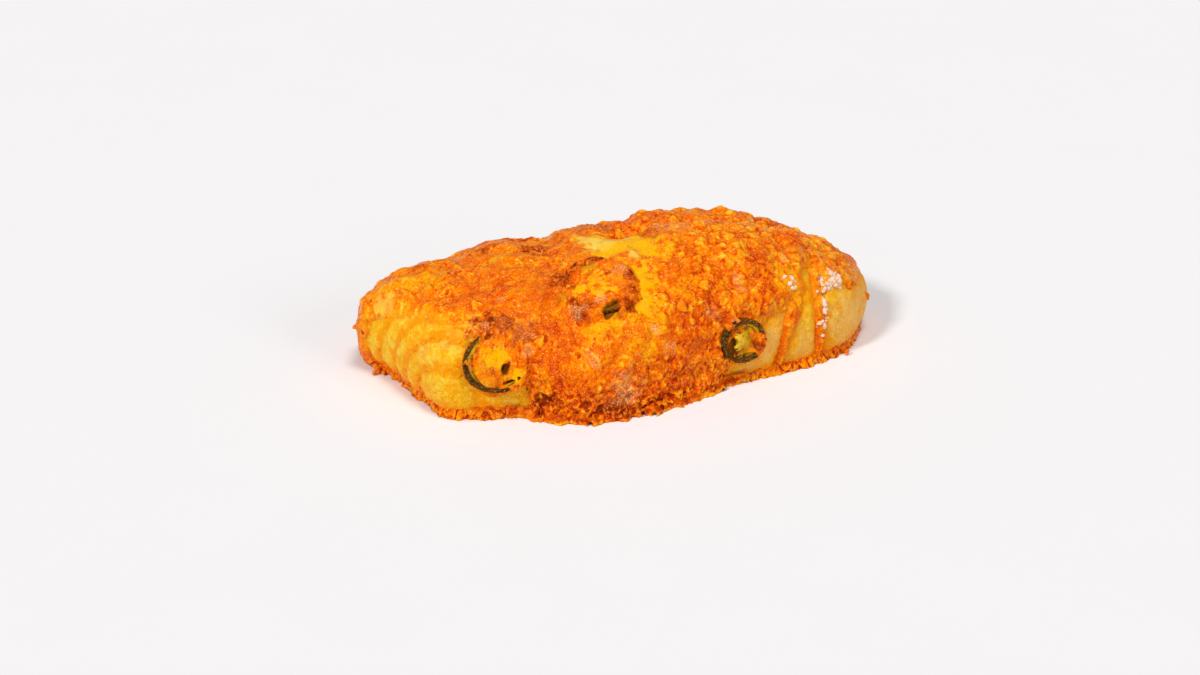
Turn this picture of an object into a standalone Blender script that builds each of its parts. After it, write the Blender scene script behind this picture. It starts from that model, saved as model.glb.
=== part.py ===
"""Cheese-topped focaccia loaf with jalapeno slices baked into the cheese.

The loaf is one dough core with a flat base. A shell of melted cheese lies over most of it, is open
where the dough shows, and ends in a frilled skirt at the foot. Each slice is a ring of pepper bent
to the loaf, in a socket cut through the cheese.
Axes: +X along the loaf to its right end, +Y to its back, +Z up. Metres.
"""

from math import acos, atan2, cos, exp, pi, sin, tau

import bmesh
import bpy
from mathutils import Vector, noise
from mathutils.bvhtree import BVHTree

MM = 0.001

# Dough in plan, at its widest: points at equal turns, from the right end by way of the back.
OUTLINE_MM = (
    (115, 6), (109, 23), (95, 37), (72, 46), (42, 50),
    (6, 51), (-30, 49), (-62, 45), (-86, 37), (-101, 26),
    (-107, 12), (-99, -7), (-92, -28), (-81, -45), (-52, -48),
    (-23, -59), (6, -53), (36, -42), (68, -36), (99, -23),
)
# Height of the crown at stations along the loaf.
SPINE_MM = (
    (-110, 45), (-84, 45), (-62, 43), (-45, 47), (-28, 44), (-11, 49),
    (8, 51.5), (21, 55.5), (52, 56), (70, 53), (90, 47), (114, 41),
)
GIRTH = 14 * MM  # height of the widest line
TUCK = {"right": 0.05, "side": 0.02, "left": 0.08}  # share by which the foot draws in
ROUNDNESS = {"right": 2.3, "side": 2.3, "left": 2.9}  # 2 is an ellipse, more is boxier
FINE_SPOTS_MM = (((-79, -36, 8), 32), ((80, -28, 20), 20.5))  # centre and reach of a finer mesh
EQUATOR = 0.60 * pi  # colatitude on the sphere that lands on the girth
FLOOR_DROP = 0.45  # share of the rest of the sphere that lands above the floor
SPHERE_CUTS = 12  # more is finer

# The dough was folded over: behind the ridge the top steps down to a crease and a second lip.
FOLD_START = 6 * MM
FOLD_END = 84 * MM
FOLD_FADE = 12 * MM
STEP_Y = 4 * MM
STEP_WIDTH = 6 * MM
STEP_DROP = 5 * MM
CREASE_Y = 11 * MM
CREASE_WIDTH = 6 * MM
CREASE_DEPTH = 3 * MM
LIP_Y = 26 * MM
LIP_WIDTH = 9 * MM
LIP_RISE = 3 * MM

# The rolled layers end in nested creases at the front left, all round one point.
PLEAT_CENTRE = Vector((-79, -36, 8)) * MM
PLEAT_RADII = tuple(radius * MM for radius in (15, 23.5, 32.5, 43))
PLEAT_WIDTH = 2.2 * MM
PLEAT_DEPTH = 1.8 * MM
PLEAT_TOP = 30 * MM

# Creases that run down the front of the right end: x at the foot and lean to the right.
GROOVES = ((61 * MM, 0.3), (82.5 * MM, 0.0))
GROOVE_WIDTH = 3 * MM
GROOVE_DEPTH = 2 * MM
GROOVE_TOP = 44 * MM

# Cheese.
GAP = 0.35 * MM  # clear space between touching pieces
CHEESE_THIN = 0.9 * MM
CHEESE_THICK = 2.6 * MM
CHEESE_LUMP = 1.9 * MM
LUMP_SIZE = 7 * MM
EDGE_RAMP = 7 * MM  # distance over which the cheese thickens from an edge
EDGE_DIVE = 2 * MM  # how far under the dough's skin the cheese is carried where it is bare
EDGE_WOBBLE = 1.2 * MM
WOBBLE_SIZE = 12 * MM
EDGE_STEPS = 7  # halvings when the border of the cheese is looked for
SNAP = 0.3  # share of an edge within which its end moves to the border
HEM = 0.3 * MM  # height of the skirt's lower edge
RIM = 3 * MM  # the cheese goes all round the foot up to this height
SKIRT_FLARE = 4.5 * MM
SKIRT_HEIGHT = 4 * MM
SKIRT_X = (-56 * MM, 44 * MM)  # the skirt is at its widest between these
SKIRT_ENDS = 0.35  # share of the flare that is left at the loaf's ends
FRILL_SIZE = 7 * MM
FRILL_SHARE = 0.8

# Bare dough: capsules given by their two ends and radius.
BARE_PATCHES_MM = (
    ((-98, -6, 14), (-86, -32, 15), 14.5),
    ((-84, -38, 12), (-62, -47, 8), 13),
    ((64, -36, 14), (96, -24, 17), 14),
    ((97, -23, 15), (112, 3, 13), 10.5),
    ((42, -41, 5), (60, -37, 6), 4.5),
    ((-30, 50, 9), (-8, 52, 17), 8),
)
STRIP_FILL = 0.6  # share of a crease's depth that cheese makes up
STRIP = 3 * MM  # half the width of the cheese that fills a crease of the right end

# Jalapeno slices: a point near the centre, outer radius, turn in degrees and number of chambers.
SLICES_MM = {
    "left": ((-61.5, -41, 22), 13.0, 20, 3),
    "middle": ((-17.5, -31, 47), 15.5, 75, 3),
    "right": ((44, -40, 20), 10.0, 10, 2),
}
SLICE_LIFT = 0.8 * MM  # clear space under a slice
SLICE_THICKNESS = 3.2 * MM
SLICE_WALL = 3 * MM  # skin and flesh together
RIB_WIDTH = 2.2 * MM
HEART_RADIUS = 0.26  # share of the radius taken by the seed-bearing centre
COLLAR_RISE = 1.4 * MM  # cheese drawn up round a slice
COLLAR_REACH = 5 * MM
OUTLINE_STEPS = 30

COLOURS = {
    "dough": ((0.83, 0.56, 0.22), 0.62),
    "cheese": ((0.86, 0.30, 0.02), 0.38),
    "jalapeno": ((0.22, 0.19, 0.03), 0.42),
}


def clear_scene():
    for obj in list(bpy.data.objects):
        bpy.data.objects.remove(obj)


def material(name):
    """Principled material of one of the foods."""
    colour, roughness = COLOURS[name]
    made = bpy.data.materials.new(name)
    made.use_nodes = True
    shader = made.node_tree.nodes["Principled BSDF"]
    shader.inputs["Base Color"].default_value = (*colour, 1)
    shader.inputs["Roughness"].default_value = roughness
    shader.inputs["Metallic"].default_value = 0
    made.diffuse_color = (*colour, 1)
    return made


def add_object(name, bm, food):
    mesh = bpy.data.meshes.new(name)
    bm.to_mesh(mesh)
    bm.free()
    mesh.materials.append(food)
    obj = bpy.data.objects.new(name, mesh)
    bpy.context.scene.collection.objects.link(obj)
    return obj


def shade(obj):
    obj.data.shade_smooth()
    obj.data.set_sharp_from_angle(angle=0.9)


def face_outward(bm):
    bmesh.ops.recalc_face_normals(bm, faces=bm.faces)
    if bm.calc_volume(signed=True) < 0:
        bmesh.ops.reverse_faces(bm, faces=bm.faces)


def smooth(value, low, high):
    """0 below low, 1 above high, and a smooth ramp between."""
    share = min(1.0, max(0.0, (value - low) / (high - low)))
    return share * share * (3 - 2 * share)


def bell(value, centre, width):
    return exp(-(((value - centre) / width) ** 2))


def wave(point, size, seed=0):
    """Smooth noise from about -1 to 1 with features of the given size."""
    return noise.noise(point / size + Vector((seed * 7.3, seed * 3.1, seed * 5.7)))


# ---- form of the dough ----


def outline(turn):
    """Plan point at a turn from 0 to 1, on a closed Catmull-Rom curve."""
    count = len(OUTLINE_MM)
    place = (turn % 1.0) * count
    index = int(place)
    t = place - index
    a, b, c, d = (Vector(OUTLINE_MM[(index + k - 1) % count]) for k in range(4))
    curve = 2 * b + (c - a) * t
    curve += (2 * a - 5 * b + 4 * c - d) * t**2 + (3 * b - a - 3 * c + d) * t**3
    return curve * 0.5 * MM


def spine(x):
    """Height of the crown over a point of the loaf's length."""
    x /= MM
    for (x0, z0), (x1, z1) in zip(SPINE_MM, SPINE_MM[1:]):
        if x < x1:
            return (z0 + (z1 - z0) * smooth(x, x0, x1)) * MM
    return SPINE_MM[-1][1] * MM


def fold(x, y):
    """Height that the folded-over top adds behind the ridge."""
    along = smooth(x, FOLD_START - FOLD_FADE, FOLD_START)
    along *= 1 - smooth(x, FOLD_END - FOLD_FADE, FOLD_END)
    height = LIP_RISE * bell(y, LIP_Y, LIP_WIDTH) - CREASE_DEPTH * bell(y, CREASE_Y, CREASE_WIDTH)
    height -= STEP_DROP * smooth(y, STEP_Y - STEP_WIDTH, STEP_Y + STEP_WIDTH)
    return along * height


def by_side(values, direction):
    """Value for a direction of the plan, from the values for the right end, sides and left end."""
    level = Vector((direction.x, direction.y))
    along = level.normalized().x
    end = values["right"] if along > 0 else values["left"]
    return values["side"] + (end - values["side"]) * along * along


def form(direction):
    """Where a direction from the unit sphere lands on the plain loaf, which goes on under the floor."""
    colatitude = acos(max(-1.0, min(1.0, direction.z)))
    plan = outline(atan2(direction.y, direction.x) / tau)
    if colatitude < EQUATOR:
        angle = 0.5 * pi * colatitude / EQUATOR
        power = 2 / by_side(ROUNDNESS, direction)
        place = plan * sin(angle) ** power
        crown = spine(place.x) + fold(place.x, place.y) - GIRTH
        return Vector((place.x, place.y, GIRTH + crown * cos(angle) ** power))
    drop = sin(0.5 * pi * (colatitude - EQUATOR) / (pi - EQUATOR))
    place = plan * (1 - by_side(TUCK, direction) * min(1, drop / FLOOR_DROP) ** 2)
    place *= (1 - max(0, (drop - FLOOR_DROP) / (1 - FLOOR_DROP)) ** 2) ** 0.5
    return Vector((place.x, place.y, GIRTH * (1 - drop / FLOOR_DROP)))


def pleats(point):
    """Height of the nested creases, below zero."""
    reach = (point - PLEAT_CENTRE).length
    deep = sum(bell(reach, radius, PLEAT_WIDTH) for radius in PLEAT_RADII)
    front = smooth(-point.x, 55 * MM, 65 * MM)
    return -PLEAT_DEPTH * deep * front * (1 - smooth(point.z, PLEAT_TOP - 8 * MM, PLEAT_TOP + 8 * MM))


def grooves(point):
    """Height of the creases of the right end, below zero."""
    front = smooth(-point.y, 0, 14 * MM)
    deep = sum(bell(point.x - point.z * lean, x, GROOVE_WIDTH) for x, lean in GROOVES)
    return -GROOVE_DEPTH * front * deep * (1 - smooth(point.z, GROOVE_TOP - 12 * MM, GROOVE_TOP))


def sphere():
    """Even triangles on a unit sphere, finer where the creases are."""
    bm = bmesh.new()
    bmesh.ops.create_icosphere(bm, subdivisions=1, radius=1)
    bmesh.ops.subdivide_edges(bm, edges=bm.edges, cuts=SPHERE_CUTS, use_grid_fill=True)
    near = set()
    for face in bm.faces:
        spot = form(face.calc_center_median().normalized())
        if any((spot / MM - Vector(centre)).length < reach for centre, reach in FINE_SPOTS_MM):
            near.update(face.edges)
    bmesh.ops.subdivide_edges(bm, edges=list(near), cuts=1, use_grid_fill=True)
    bmesh.ops.triangulate(bm, faces=bm.faces)
    for vert in bm.verts:
        vert.co.normalize()
    return bm


def skin(directions, extra=lambda point, cover: 0):
    """The loaf's surface over a mesh of directions, raised by an extra height along its normals."""
    bm = directions.copy()
    cover = bm.verts.layers.float["cover"]
    for vert in bm.verts:
        vert.co = form(vert.co)
    bm.normal_update()
    moved = []
    for vert in bm.verts:
        height = pleats(vert.co) + grooves(vert.co) + extra(vert.co, vert[cover])
        moved.append(vert.co + vert.normal * height)
    for vert, co in zip(bm.verts, moved):
        vert.co = co
    bm.normal_update()
    return bm


def cut_level(bm, height):
    """Cuts a closed mesh off at a height and closes it with a flat face."""
    geometry = bm.verts[:] + bm.edges[:] + bm.faces[:]
    cut = bmesh.ops.bisect_plane(
        bm, geom=geometry, plane_co=(0, 0, height), plane_no=(0, 0, -1), clear_outer=True, dist=0.05 * MM
    )
    rim = [item for item in cut["geom_cut"] if isinstance(item, bmesh.types.BMEdge)]
    bmesh.ops.contextual_create(bm, geom=rim)
    face_outward(bm)


def make_bread(directions, food):
    bm = skin(directions)
    cut_level(bm, 0)
    bread = add_object("bread", bm, food)
    shade(bread)
    return bread


# ---- cheese ----


def capsule_distance(point, start, end, radius):
    along = end - start
    share = min(1.0, max(0.0, (point - start).dot(along) / along.length_squared))
    return (point - start - along * share).length - radius


def cheese_cover(point):
    """Distance from the edge of the cheese, positive where cheese lies."""
    bare = min(
        capsule_distance(point, Vector(start) * MM, Vector(end) * MM, radius * MM)
        for start, end, radius in BARE_PATCHES_MM
    )
    bare += EDGE_WOBBLE * wave(point, WOBBLE_SIZE, 1)
    strip = STRIP - min(abs(point.x - point.z * lean - x) for x, lean in GROOVES)
    return max(bare, strip, RIM - point.z)


def slice_centre(name):
    return Vector(SLICES_MM[name][0]) * MM


def skirt(point):
    """How far the cheese has run out over the floor at the foot."""
    start, end = SKIRT_X
    wide = smooth(point.x, start - 20 * MM, start) * (1 - smooth(point.x, end, end + 20 * MM))
    flare = SKIRT_FLARE * (SKIRT_ENDS + (1 - SKIRT_ENDS) * wide)
    frill = 1 + FRILL_SHARE * wave(point, FRILL_SIZE, 3)
    return flare * frill * exp(-max(0, point.z) / SKIRT_HEIGHT)


def cheese_height(point, cover):
    """Height of the cheese over the dough, or a depth under it where the dough is bare."""
    if cover < 0:
        return -EDGE_DIVE
    ramp = smooth(cover, 0, EDGE_RAMP)
    height = CHEESE_THIN + (CHEESE_THICK - CHEESE_THIN) * ramp
    height += CHEESE_LUMP * ramp * wave(point, LUMP_SIZE, 2)
    height -= STRIP_FILL * grooves(point)
    for name, (_, radius, _, _) in SLICES_MM.items():
        reach = (point - slice_centre(name)).length - radius * MM
        height += COLLAR_RISE * (1 - smooth(reach, 0, COLLAR_REACH))
    return height + ramp * skirt(point)


def crossing(covered, bare):
    """Direction between two others at which the cheese ends."""
    for _ in range(EDGE_STEPS):
        middle = covered.lerp(bare, 0.5).normalized()
        if cheese_cover(form(middle)) > 0:
            covered = middle
        else:
            bare = middle
    return covered.lerp(bare, 0.5).normalized()


def lay_cheese_edge(bm):
    """Puts a line of edges along the border of the cheese, and notes each vertex's distance from it."""
    cover = bm.verts.layers.float.new("cover")
    for vert in bm.verts:
        vert[cover] = cheese_cover(form(vert.co))
    for edge in list(bm.edges):
        a, b = sorted(edge.verts, key=lambda vert: vert[cover])
        if a[cover] < 0 < b[cover]:
            spot = crossing(b.co, a.co)
            share = (spot - a.co).length / (b.co - a.co).length
            if SNAP < share < 1 - SNAP:
                vert = bmesh.utils.edge_split(edge, a, share)[1]
            else:
                vert = a if share < 0.5 else b
            vert.co = spot
            vert[cover] = 0
    bmesh.ops.triangulate(bm, faces=bm.faces)


def make_cheese(directions, food):
    """A solid a little larger than the dough, less the dough and its gap."""
    outer = skin(directions, lambda point, cover: GAP + cheese_height(point, cover))
    cut_level(outer, HEM)
    cheese = add_object("melted_cheese", outer, food)
    inner = skin(directions, lambda point, cover: GAP)
    cut_out(cheese, add_object("dough_space", inner, food))
    shade(cheese)
    return cheese


def cut_out(obj, cutter):
    """Subtracts a cutter from an object."""
    cutter.hide_render = True
    cutter.display_type = "WIRE"
    cut = obj.modifiers.new(cutter.name, "BOOLEAN")
    cut.operation = "DIFFERENCE"
    cut.object = cutter
    cut.solver = "EXACT"


# ---- jalapeno slices ----


class Bed:
    """The spot on the loaf where a slice lies: its centre and the slice's own axes."""

    def __init__(self, dough, name):
        self.tree = BVHTree.FromBMesh(dough)
        self.centre, normal, _, _ = self.tree.find_nearest(slice_centre(name))
        side = normal.orthogonal().normalized() * 8 * MM
        other = normal.cross(side)
        for k in range(3):
            offset = side * cos(k * tau / 3) + other * sin(k * tau / 3)
            normal = normal + self.tree.find_nearest(self.centre + offset)[1]
        self.normal = normal.normalized()
        self.side = self.normal.cross(Vector((0, 1, 0.3))).normalized()
        self.up = self.normal.cross(self.side)

    def place(self, u, v, height):
        """Point over the dough at u, v of the slice's plane."""
        start = self.centre + self.side * u + self.up * v + self.normal * 25 * MM
        hit = self.tree.ray_cast(start, -self.normal)[0]
        return hit + self.normal * height


def rounded_circle(radius, turn):
    """Points of a slightly uneven round outline."""
    points = []
    for step in range(OUTLINE_STEPS):
        angle = tau * step / OUTLINE_STEPS
        reach = radius * (1 + 0.035 * cos(2 * angle + turn) + 0.02 * cos(3 * angle - turn))
        points.append((reach * cos(angle), reach * sin(angle)))
    return points


def chamber(radius, middle, half_angle):
    """Outline of one seed chamber: between the wall and the heart, and between two ribs."""
    outer = radius - SLICE_WALL
    inner = radius * HEART_RADIUS + 0.8 * MM
    rib = 0.5 * RIB_WIDTH
    points = []
    for share in (-1, -0.5, 0, 0.5, 1):
        angle = middle + share * (half_angle - rib / outer)
        points.append((outer * cos(angle), outer * sin(angle)))
    for share in (1, 0, -1):
        angle = middle + share * max(0.15, half_angle - rib / inner)
        points.append((inner * cos(angle), inner * sin(angle)))
    return points


def bent_solid(bed, loops, low, high):
    """Solid of an outline with holes, bent to the loaf between two heights over it."""
    bm = bmesh.new()
    edges = []
    for loop in loops:
        verts = [bm.verts.new((x, y, low)) for x, y in loop]
        edges += [bm.edges.new((verts[i - 1], verts[i])) for i in range(len(verts))]
    bmesh.ops.triangle_fill(bm, edges=edges, use_beauty=True)
    made = bmesh.ops.extrude_face_region(bm, geom=bm.faces[:], use_keep_orig=True)
    for item in made["geom"]:
        if isinstance(item, bmesh.types.BMVert):
            item.co.z = high
    for vert in bm.verts:
        vert.co = bed.place(vert.co.x, vert.co.y, vert.co.z)
    face_outward(bm)
    return bm


def make_slice(name, bed, food):
    _, radius, turn, chambers = SLICES_MM[name]
    radius *= MM
    turn *= pi / 180
    loops = [rounded_circle(radius, turn)]
    for k in range(chambers):
        loops.append(chamber(radius, turn + tau * k / chambers, pi / chambers))
    bm = bent_solid(bed, loops, SLICE_LIFT, SLICE_LIFT + SLICE_THICKNESS)
    return add_object(f"jalapeno_slice_{name}", bm, food)


def make_socket(name, bed, food):
    """Cutter for the slice's place in the cheese, with a gap all round."""
    _, radius, turn, _ = SLICES_MM[name]
    loop = rounded_circle(radius * MM + GAP, turn * pi / 180)
    return add_object(f"socket_{name}", bent_solid(bed, [loop], -3 * MM, 12 * MM), food)


def stand_on_origin():
    """Moves the model so that the middle of its box is over the origin."""
    corners = [v.co for obj in bpy.data.objects if not obj.hide_render for v in obj.data.vertices]
    middle = [(min(c[axis] for c in corners) + max(c[axis] for c in corners)) / 2 for axis in (0, 1)]
    for obj in bpy.data.objects:
        obj.location = (-middle[0], -middle[1], 0)


def main():
    clear_scene()
    foods = {name: material(name) for name in COLOURS}
    directions = sphere()
    lay_cheese_edge(directions)
    make_bread(directions, foods["dough"])
    cheese = make_cheese(directions, foods["cheese"])
    dough = skin(directions)
    for name in SLICES_MM:
        bed = Bed(dough, name)
        make_slice(name, bed, foods["jalapeno"])
        cut_out(cheese, make_socket(name, bed, foods["cheese"]))
    dough.free()
    directions.free()
    stand_on_origin()


main()
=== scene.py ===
from math import cos, pi, radians, sin, tau

import bmesh
import bpy
import numpy as np
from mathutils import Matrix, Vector, noise
from mathutils.bvhtree import BVHTree
from mathutils.kdtree import KDTree


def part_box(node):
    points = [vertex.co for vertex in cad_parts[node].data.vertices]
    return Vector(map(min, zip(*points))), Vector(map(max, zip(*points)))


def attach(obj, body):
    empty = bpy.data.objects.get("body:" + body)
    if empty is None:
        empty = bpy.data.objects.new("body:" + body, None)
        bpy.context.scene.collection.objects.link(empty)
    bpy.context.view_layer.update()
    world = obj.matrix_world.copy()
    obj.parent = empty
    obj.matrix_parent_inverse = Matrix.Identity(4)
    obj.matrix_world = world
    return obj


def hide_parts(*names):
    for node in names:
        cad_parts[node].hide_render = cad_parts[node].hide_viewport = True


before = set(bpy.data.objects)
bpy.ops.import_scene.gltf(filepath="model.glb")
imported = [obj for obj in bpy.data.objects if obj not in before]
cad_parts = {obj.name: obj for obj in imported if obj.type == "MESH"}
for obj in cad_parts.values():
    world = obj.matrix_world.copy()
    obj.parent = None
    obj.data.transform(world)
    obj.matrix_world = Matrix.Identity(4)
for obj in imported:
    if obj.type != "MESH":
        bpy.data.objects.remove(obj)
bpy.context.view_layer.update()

mm = 0.001
scene = bpy.context.scene

# Places and lengths below are in millimetres of the loaf's own frame: x to the right end, y to the
# back, z up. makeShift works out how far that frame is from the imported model's.
loaf = {
    "outline": (  # in plan, at equal turns, from the right end by way of the back
        (115, 6), (109, 23), (95, 37), (72, 46), (42, 50), (6, 51), (-30, 49), (-62, 45),
        (-86, 37), (-101, 26), (-107, 12), (-99, -7), (-92, -28), (-81, -45), (-52, -48),
        (-23, -59), (6, -53), (36, -42), (68, -36), (99, -23),
    ),
    "spine": (  # height of the crown along the loaf
        (-110, 45), (-84, 45), (-62, 43), (-45, 47), (-28, 44), (-11, 49),
        (8, 51.5), (21, 55.5), (52, 56), (70, 53), (90, 47), (114, 41),
    ),
    "girth": 14,
    "tuck": (0.05, 0.02, 0.08),  # right end, sides, left end
    "roundness": (2.3, 2.3, 2.9),
    "equator": 0.60,
    "floorDrop": 0.45,
    "level": 7, "voxel": 0.45, "below": 3,  # fineness, and how much is kept under the floor for a while
}
foldOver = {
    "start": 6, "end": 84, "fade": 12,
    "stepY": 4, "stepWidth": 6, "stepDrop": 5,
    "creaseY": 11, "creaseWidth": 6, "creaseDepth": 3,
    "lipY": 26, "lipWidth": 9, "lipRise": 3,
}
pleats = {
    "centre": (-79, -36, 8), "radii": (15, 23.5, 32.5, 43), "width": 2.2, "depth": 1.8,
    "endX": (-65, -55), "top": 30, "fade": 8,  # where they die away to the right and upwards
    "kept": 0.5,  # share of the depth that isn't filled with cheese
    "sliceX": (-72, -62), "sliceZ": (20, 27),  # from where to where they run under the left slice
}
grooves = {"lines": ((61, 0.3), (82.5, 0.0)), "width": 3, "depth": 2, "top": 44, "fade": 12, "frontY": 14}


# 0 below low, 1 above high, smooth between
def smooth(value, low, high):
    share = np.clip((value - low) / (high - low), 0, 1)
    return share * share * (3 - 2 * share)


def bell(value, centre, width):
    return np.exp(-(((value - centre) / width) ** 2))


def lengths(vectors):
    return np.sqrt((vectors ** 2).sum(axis=-1))


def outlineAt(turn):
    points = np.array(loaf["outline"], float)
    place = (turn % 1.0) * len(points)
    index = place.astype(int)
    t = (place - index)[:, None]
    a, b, c, d = (points[(index + k - 1) % len(points)] for k in range(4))
    return 0.5 * (2 * b + (c - a) * t + (2 * a - 5 * b + 4 * c - d) * t**2 + (3 * b - a - 3 * c + d) * t**3)


def spineAt(x):
    xs, zs = np.array(loaf["spine"], float).T
    i = np.clip(np.searchsorted(xs, x) - 1, 0, len(xs) - 2)
    return zs[i] + (zs[i + 1] - zs[i]) * smooth(x, xs[i], xs[i + 1])


def foldAt(x, y):
    f = foldOver
    along = smooth(x, f["start"] - f["fade"], f["start"]) * (1 - smooth(x, f["end"] - f["fade"], f["end"]))
    height = f["lipRise"] * bell(y, f["lipY"], f["lipWidth"])
    height -= f["creaseDepth"] * bell(y, f["creaseY"], f["creaseWidth"])
    height -= f["stepDrop"] * smooth(y, f["stepY"] - f["stepWidth"], f["stepY"] + f["stepWidth"])
    return along * height


# value for each direction, from the ones for the right end, the sides and the left end
def bySide(values, directions):
    right, side, left = values
    along = directions[:, 0] / np.maximum(lengths(directions[:, :2]), 1e-9)
    return side + (np.where(along > 0, right, left) - side) * along**2


# where directions from a ball land on the plain loaf, which goes on under the floor
def loafForm(directions):
    colatitude = np.arccos(np.clip(directions[:, 2], -1, 1))
    plan = outlineAt(np.arctan2(directions[:, 1], directions[:, 0]) / tau)
    equator = loaf["equator"] * pi
    angle = np.minimum(0.5 * pi * colatitude / equator, 0.5 * pi)
    power = 2 / bySide(loaf["roundness"], directions)
    top = plan * (np.sin(angle) ** power)[:, None]
    crown = spineAt(top[:, 0]) + foldAt(top[:, 0], top[:, 1]) - loaf["girth"]
    topHeight = loaf["girth"] + crown * np.maximum(np.cos(angle), 0) ** power
    drop = np.sin(0.5 * pi * np.clip((colatitude - equator) / (pi - equator), 0, 1))
    tucked = bySide(loaf["tuck"], directions) * np.minimum(1, drop / loaf["floorDrop"]) ** 2
    low = plan * (1 - tucked)[:, None]
    below = np.maximum(0, (drop - loaf["floorDrop"]) / (1 - loaf["floorDrop"]))
    low = low * np.sqrt(np.maximum(0, 1 - below**2))[:, None]
    lowHeight = loaf["girth"] * (1 - drop / loaf["floorDrop"])
    isTop = colatitude < equator
    place = np.where(isTop[:, None], top, low)
    return np.column_stack([place, np.where(isTop, topHeight, lowHeight)])


def pleatReach(points):
    return lengths(points - np.array(pleats["centre"]))


def pleatFront(points):
    start, end = pleats["endX"]
    low, high = pleats["top"] - pleats["fade"], pleats["top"] + pleats["fade"]
    return smooth(-points[:, 0], -end, -start) * (1 - smooth(points[:, 2], low, high))


def pleatHeight(points):
    reach = pleatReach(points)
    deep = sum(bell(reach, radius, pleats["width"]) for radius in pleats["radii"])
    return -pleats["depth"] * deep * pleatFront(points)


# the creases end where the dough runs under the slice at the left
def pleatRelief(points):
    under = smooth(points[:, 0], *pleats["sliceX"]) * (1 - smooth(points[:, 2], *pleats["sliceZ"]))
    return pleats["kept"] * pleatHeight(points) * (1 - under)


def grooveSide(points, line):
    x, lean = line
    return points[:, 0] - points[:, 2] * lean - x


def grooveHeight(points):
    g = grooves
    front = smooth(-points[:, 1], 0, g["frontY"])
    front *= 1 - smooth(points[:, 2], g["top"] - g["fade"], g["top"])
    deep = sum(bell(grooveSide(points, line), 0, g["width"]) for line in g["lines"])
    return -g["depth"] * front * deep


# lattice numbers from 0 to 1 for whole-number cells
def latticeValues(cells, seed):
    key = cells @ np.array([73856093, 19349663, 83492791]) + seed * 2654435761
    key = ((key ^ (key >> 13)) * 1274126177) & 0xFFFFFFFF
    key = ((key ^ (key >> 16)) * 668265263) & 0xFFFFFFFF
    key = key ^ (key >> 15)
    return np.stack([(key >> shift) & 1023 for shift in (0, 10, 20)], axis=-1) / 1023


# smooth noise from about -1 to 1 with features of the given size
def grain(points, size, seed=0):
    scaled = points / size + 500
    cell = np.floor(scaled).astype(np.int64)
    share = scaled - cell
    fade = share**3 * (share * (share * 6 - 15) + 10)
    total = np.zeros(len(points))
    for corner in np.ndindex(2, 2, 2):
        corner = np.array(corner)
        weight = np.prod(np.where(corner, fade, 1 - fade), axis=1)
        slope = latticeValues(cell + corner, seed) * 2 - 1
        total += weight * (slope * (share - corner)).sum(axis=1)
    return total * 1.7


def layeredGrain(points, size, seed=0, layers=3):
    return sum(grain(points, size / 2**k, seed + 11 * k) / 2**k for k in range(layers))


# points moved about by noise, so that a shape worked out from them gets an uneven edge
def warped(points, size, amount, seed):
    return points + amount * np.column_stack([grain(points, size, seed + k) for k in range(3)])


# nearest of scattered centres: distance in cell sizes, the margin to the second, and a number of its own
def cellPattern(points, size, seed=0):
    scaled = points / size + 500
    cell = np.floor(scaled).astype(np.int64)
    nearest = np.full(len(points), 9.0)
    second = nearest.copy()
    owner = np.zeros(len(points))
    for step in np.ndindex(3, 3, 3):
        there = cell + np.array(step) - 1
        values = latticeValues(there, seed)
        distance = lengths(there + values - scaled)
        closer = distance < nearest
        second = np.where(closer, nearest, np.minimum(second, distance))
        owner = np.where(closer, values[:, 0] * 7.13 % 1, owner)
        nearest = np.where(closer, distance, nearest)
    return nearest, second - nearest, owner


# round bubbles of uneven height packed side by side, from 0 to 1
def bubblePattern(points, size, seed):
    near, _, owner = cellPattern(points, size, seed)
    return (0.3 + 0.7 * owner) * np.sqrt(np.maximum(0, 1 - (near / 0.78) ** 2))


# 1 at a spot and 0 away from it, with an edge made uneven by noise
def blot(distance, radius, ragged=0.0):
    return 1 - smooth(distance / radius + 0.45 * ragged, 0.45, 1.3)


# the strongest of several spots at each point, each given by its place, radius and strength
def spotted(points, spots, ragged=0.0):
    total = np.zeros(len(points))
    for x, y, z, radius, strength in spots:
        distance = lengths(points - np.array((x, y, z)))
        total = np.maximum(total, strength * blot(distance, radius, ragged))
    return total


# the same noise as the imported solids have
def solidWave(points, size, seed):
    shift = Vector((seed * 7.3, seed * 3.1, seed * 5.7))
    return np.array([noise.noise(Vector(point) / size + shift) for point in points.tolist()])


# points and faces of a mesh whose faces all have the same number of corners
def meshArrays(mesh, corners):
    points = np.empty(len(mesh.vertices) * 3)
    mesh.vertices.foreach_get("co", points)
    faces = np.empty(len(mesh.loops), int)
    mesh.loops.foreach_get("vertex_index", faces)
    return points.reshape(-1, 3), faces.reshape(-1, corners)


def triangleArrays(bm):
    mesh = bpy.data.meshes.new("triangles")
    bm.to_mesh(mesh)
    bm.free()
    arrays = meshArrays(mesh, 3)
    bpy.data.meshes.remove(mesh)
    return arrays


def ballDirections(level):
    bm = bmesh.new()
    bmesh.ops.create_icosphere(bm, subdivisions=level, radius=1)
    return triangleArrays(bm)


def pointTree(points):
    tree = KDTree(len(points))
    for index, point in enumerate(points.tolist()):
        tree.insert(point, index)
    tree.balance()
    return tree


def arrayMesh(name, points, faces):
    mesh = bpy.data.meshes.new(name)
    mesh.vertices.add(len(points))
    mesh.vertices.foreach_set("co", np.ascontiguousarray(points, float).ravel())
    corners = faces.shape[1]
    mesh.loops.add(faces.size)
    mesh.loops.foreach_set("vertex_index", np.ascontiguousarray(faces).ravel())
    mesh.polygons.add(len(faces))
    mesh.polygons.foreach_set("loop_start", np.arange(len(faces)) * corners)
    mesh.update(calc_edges=True)
    mesh.validate()
    return mesh


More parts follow.
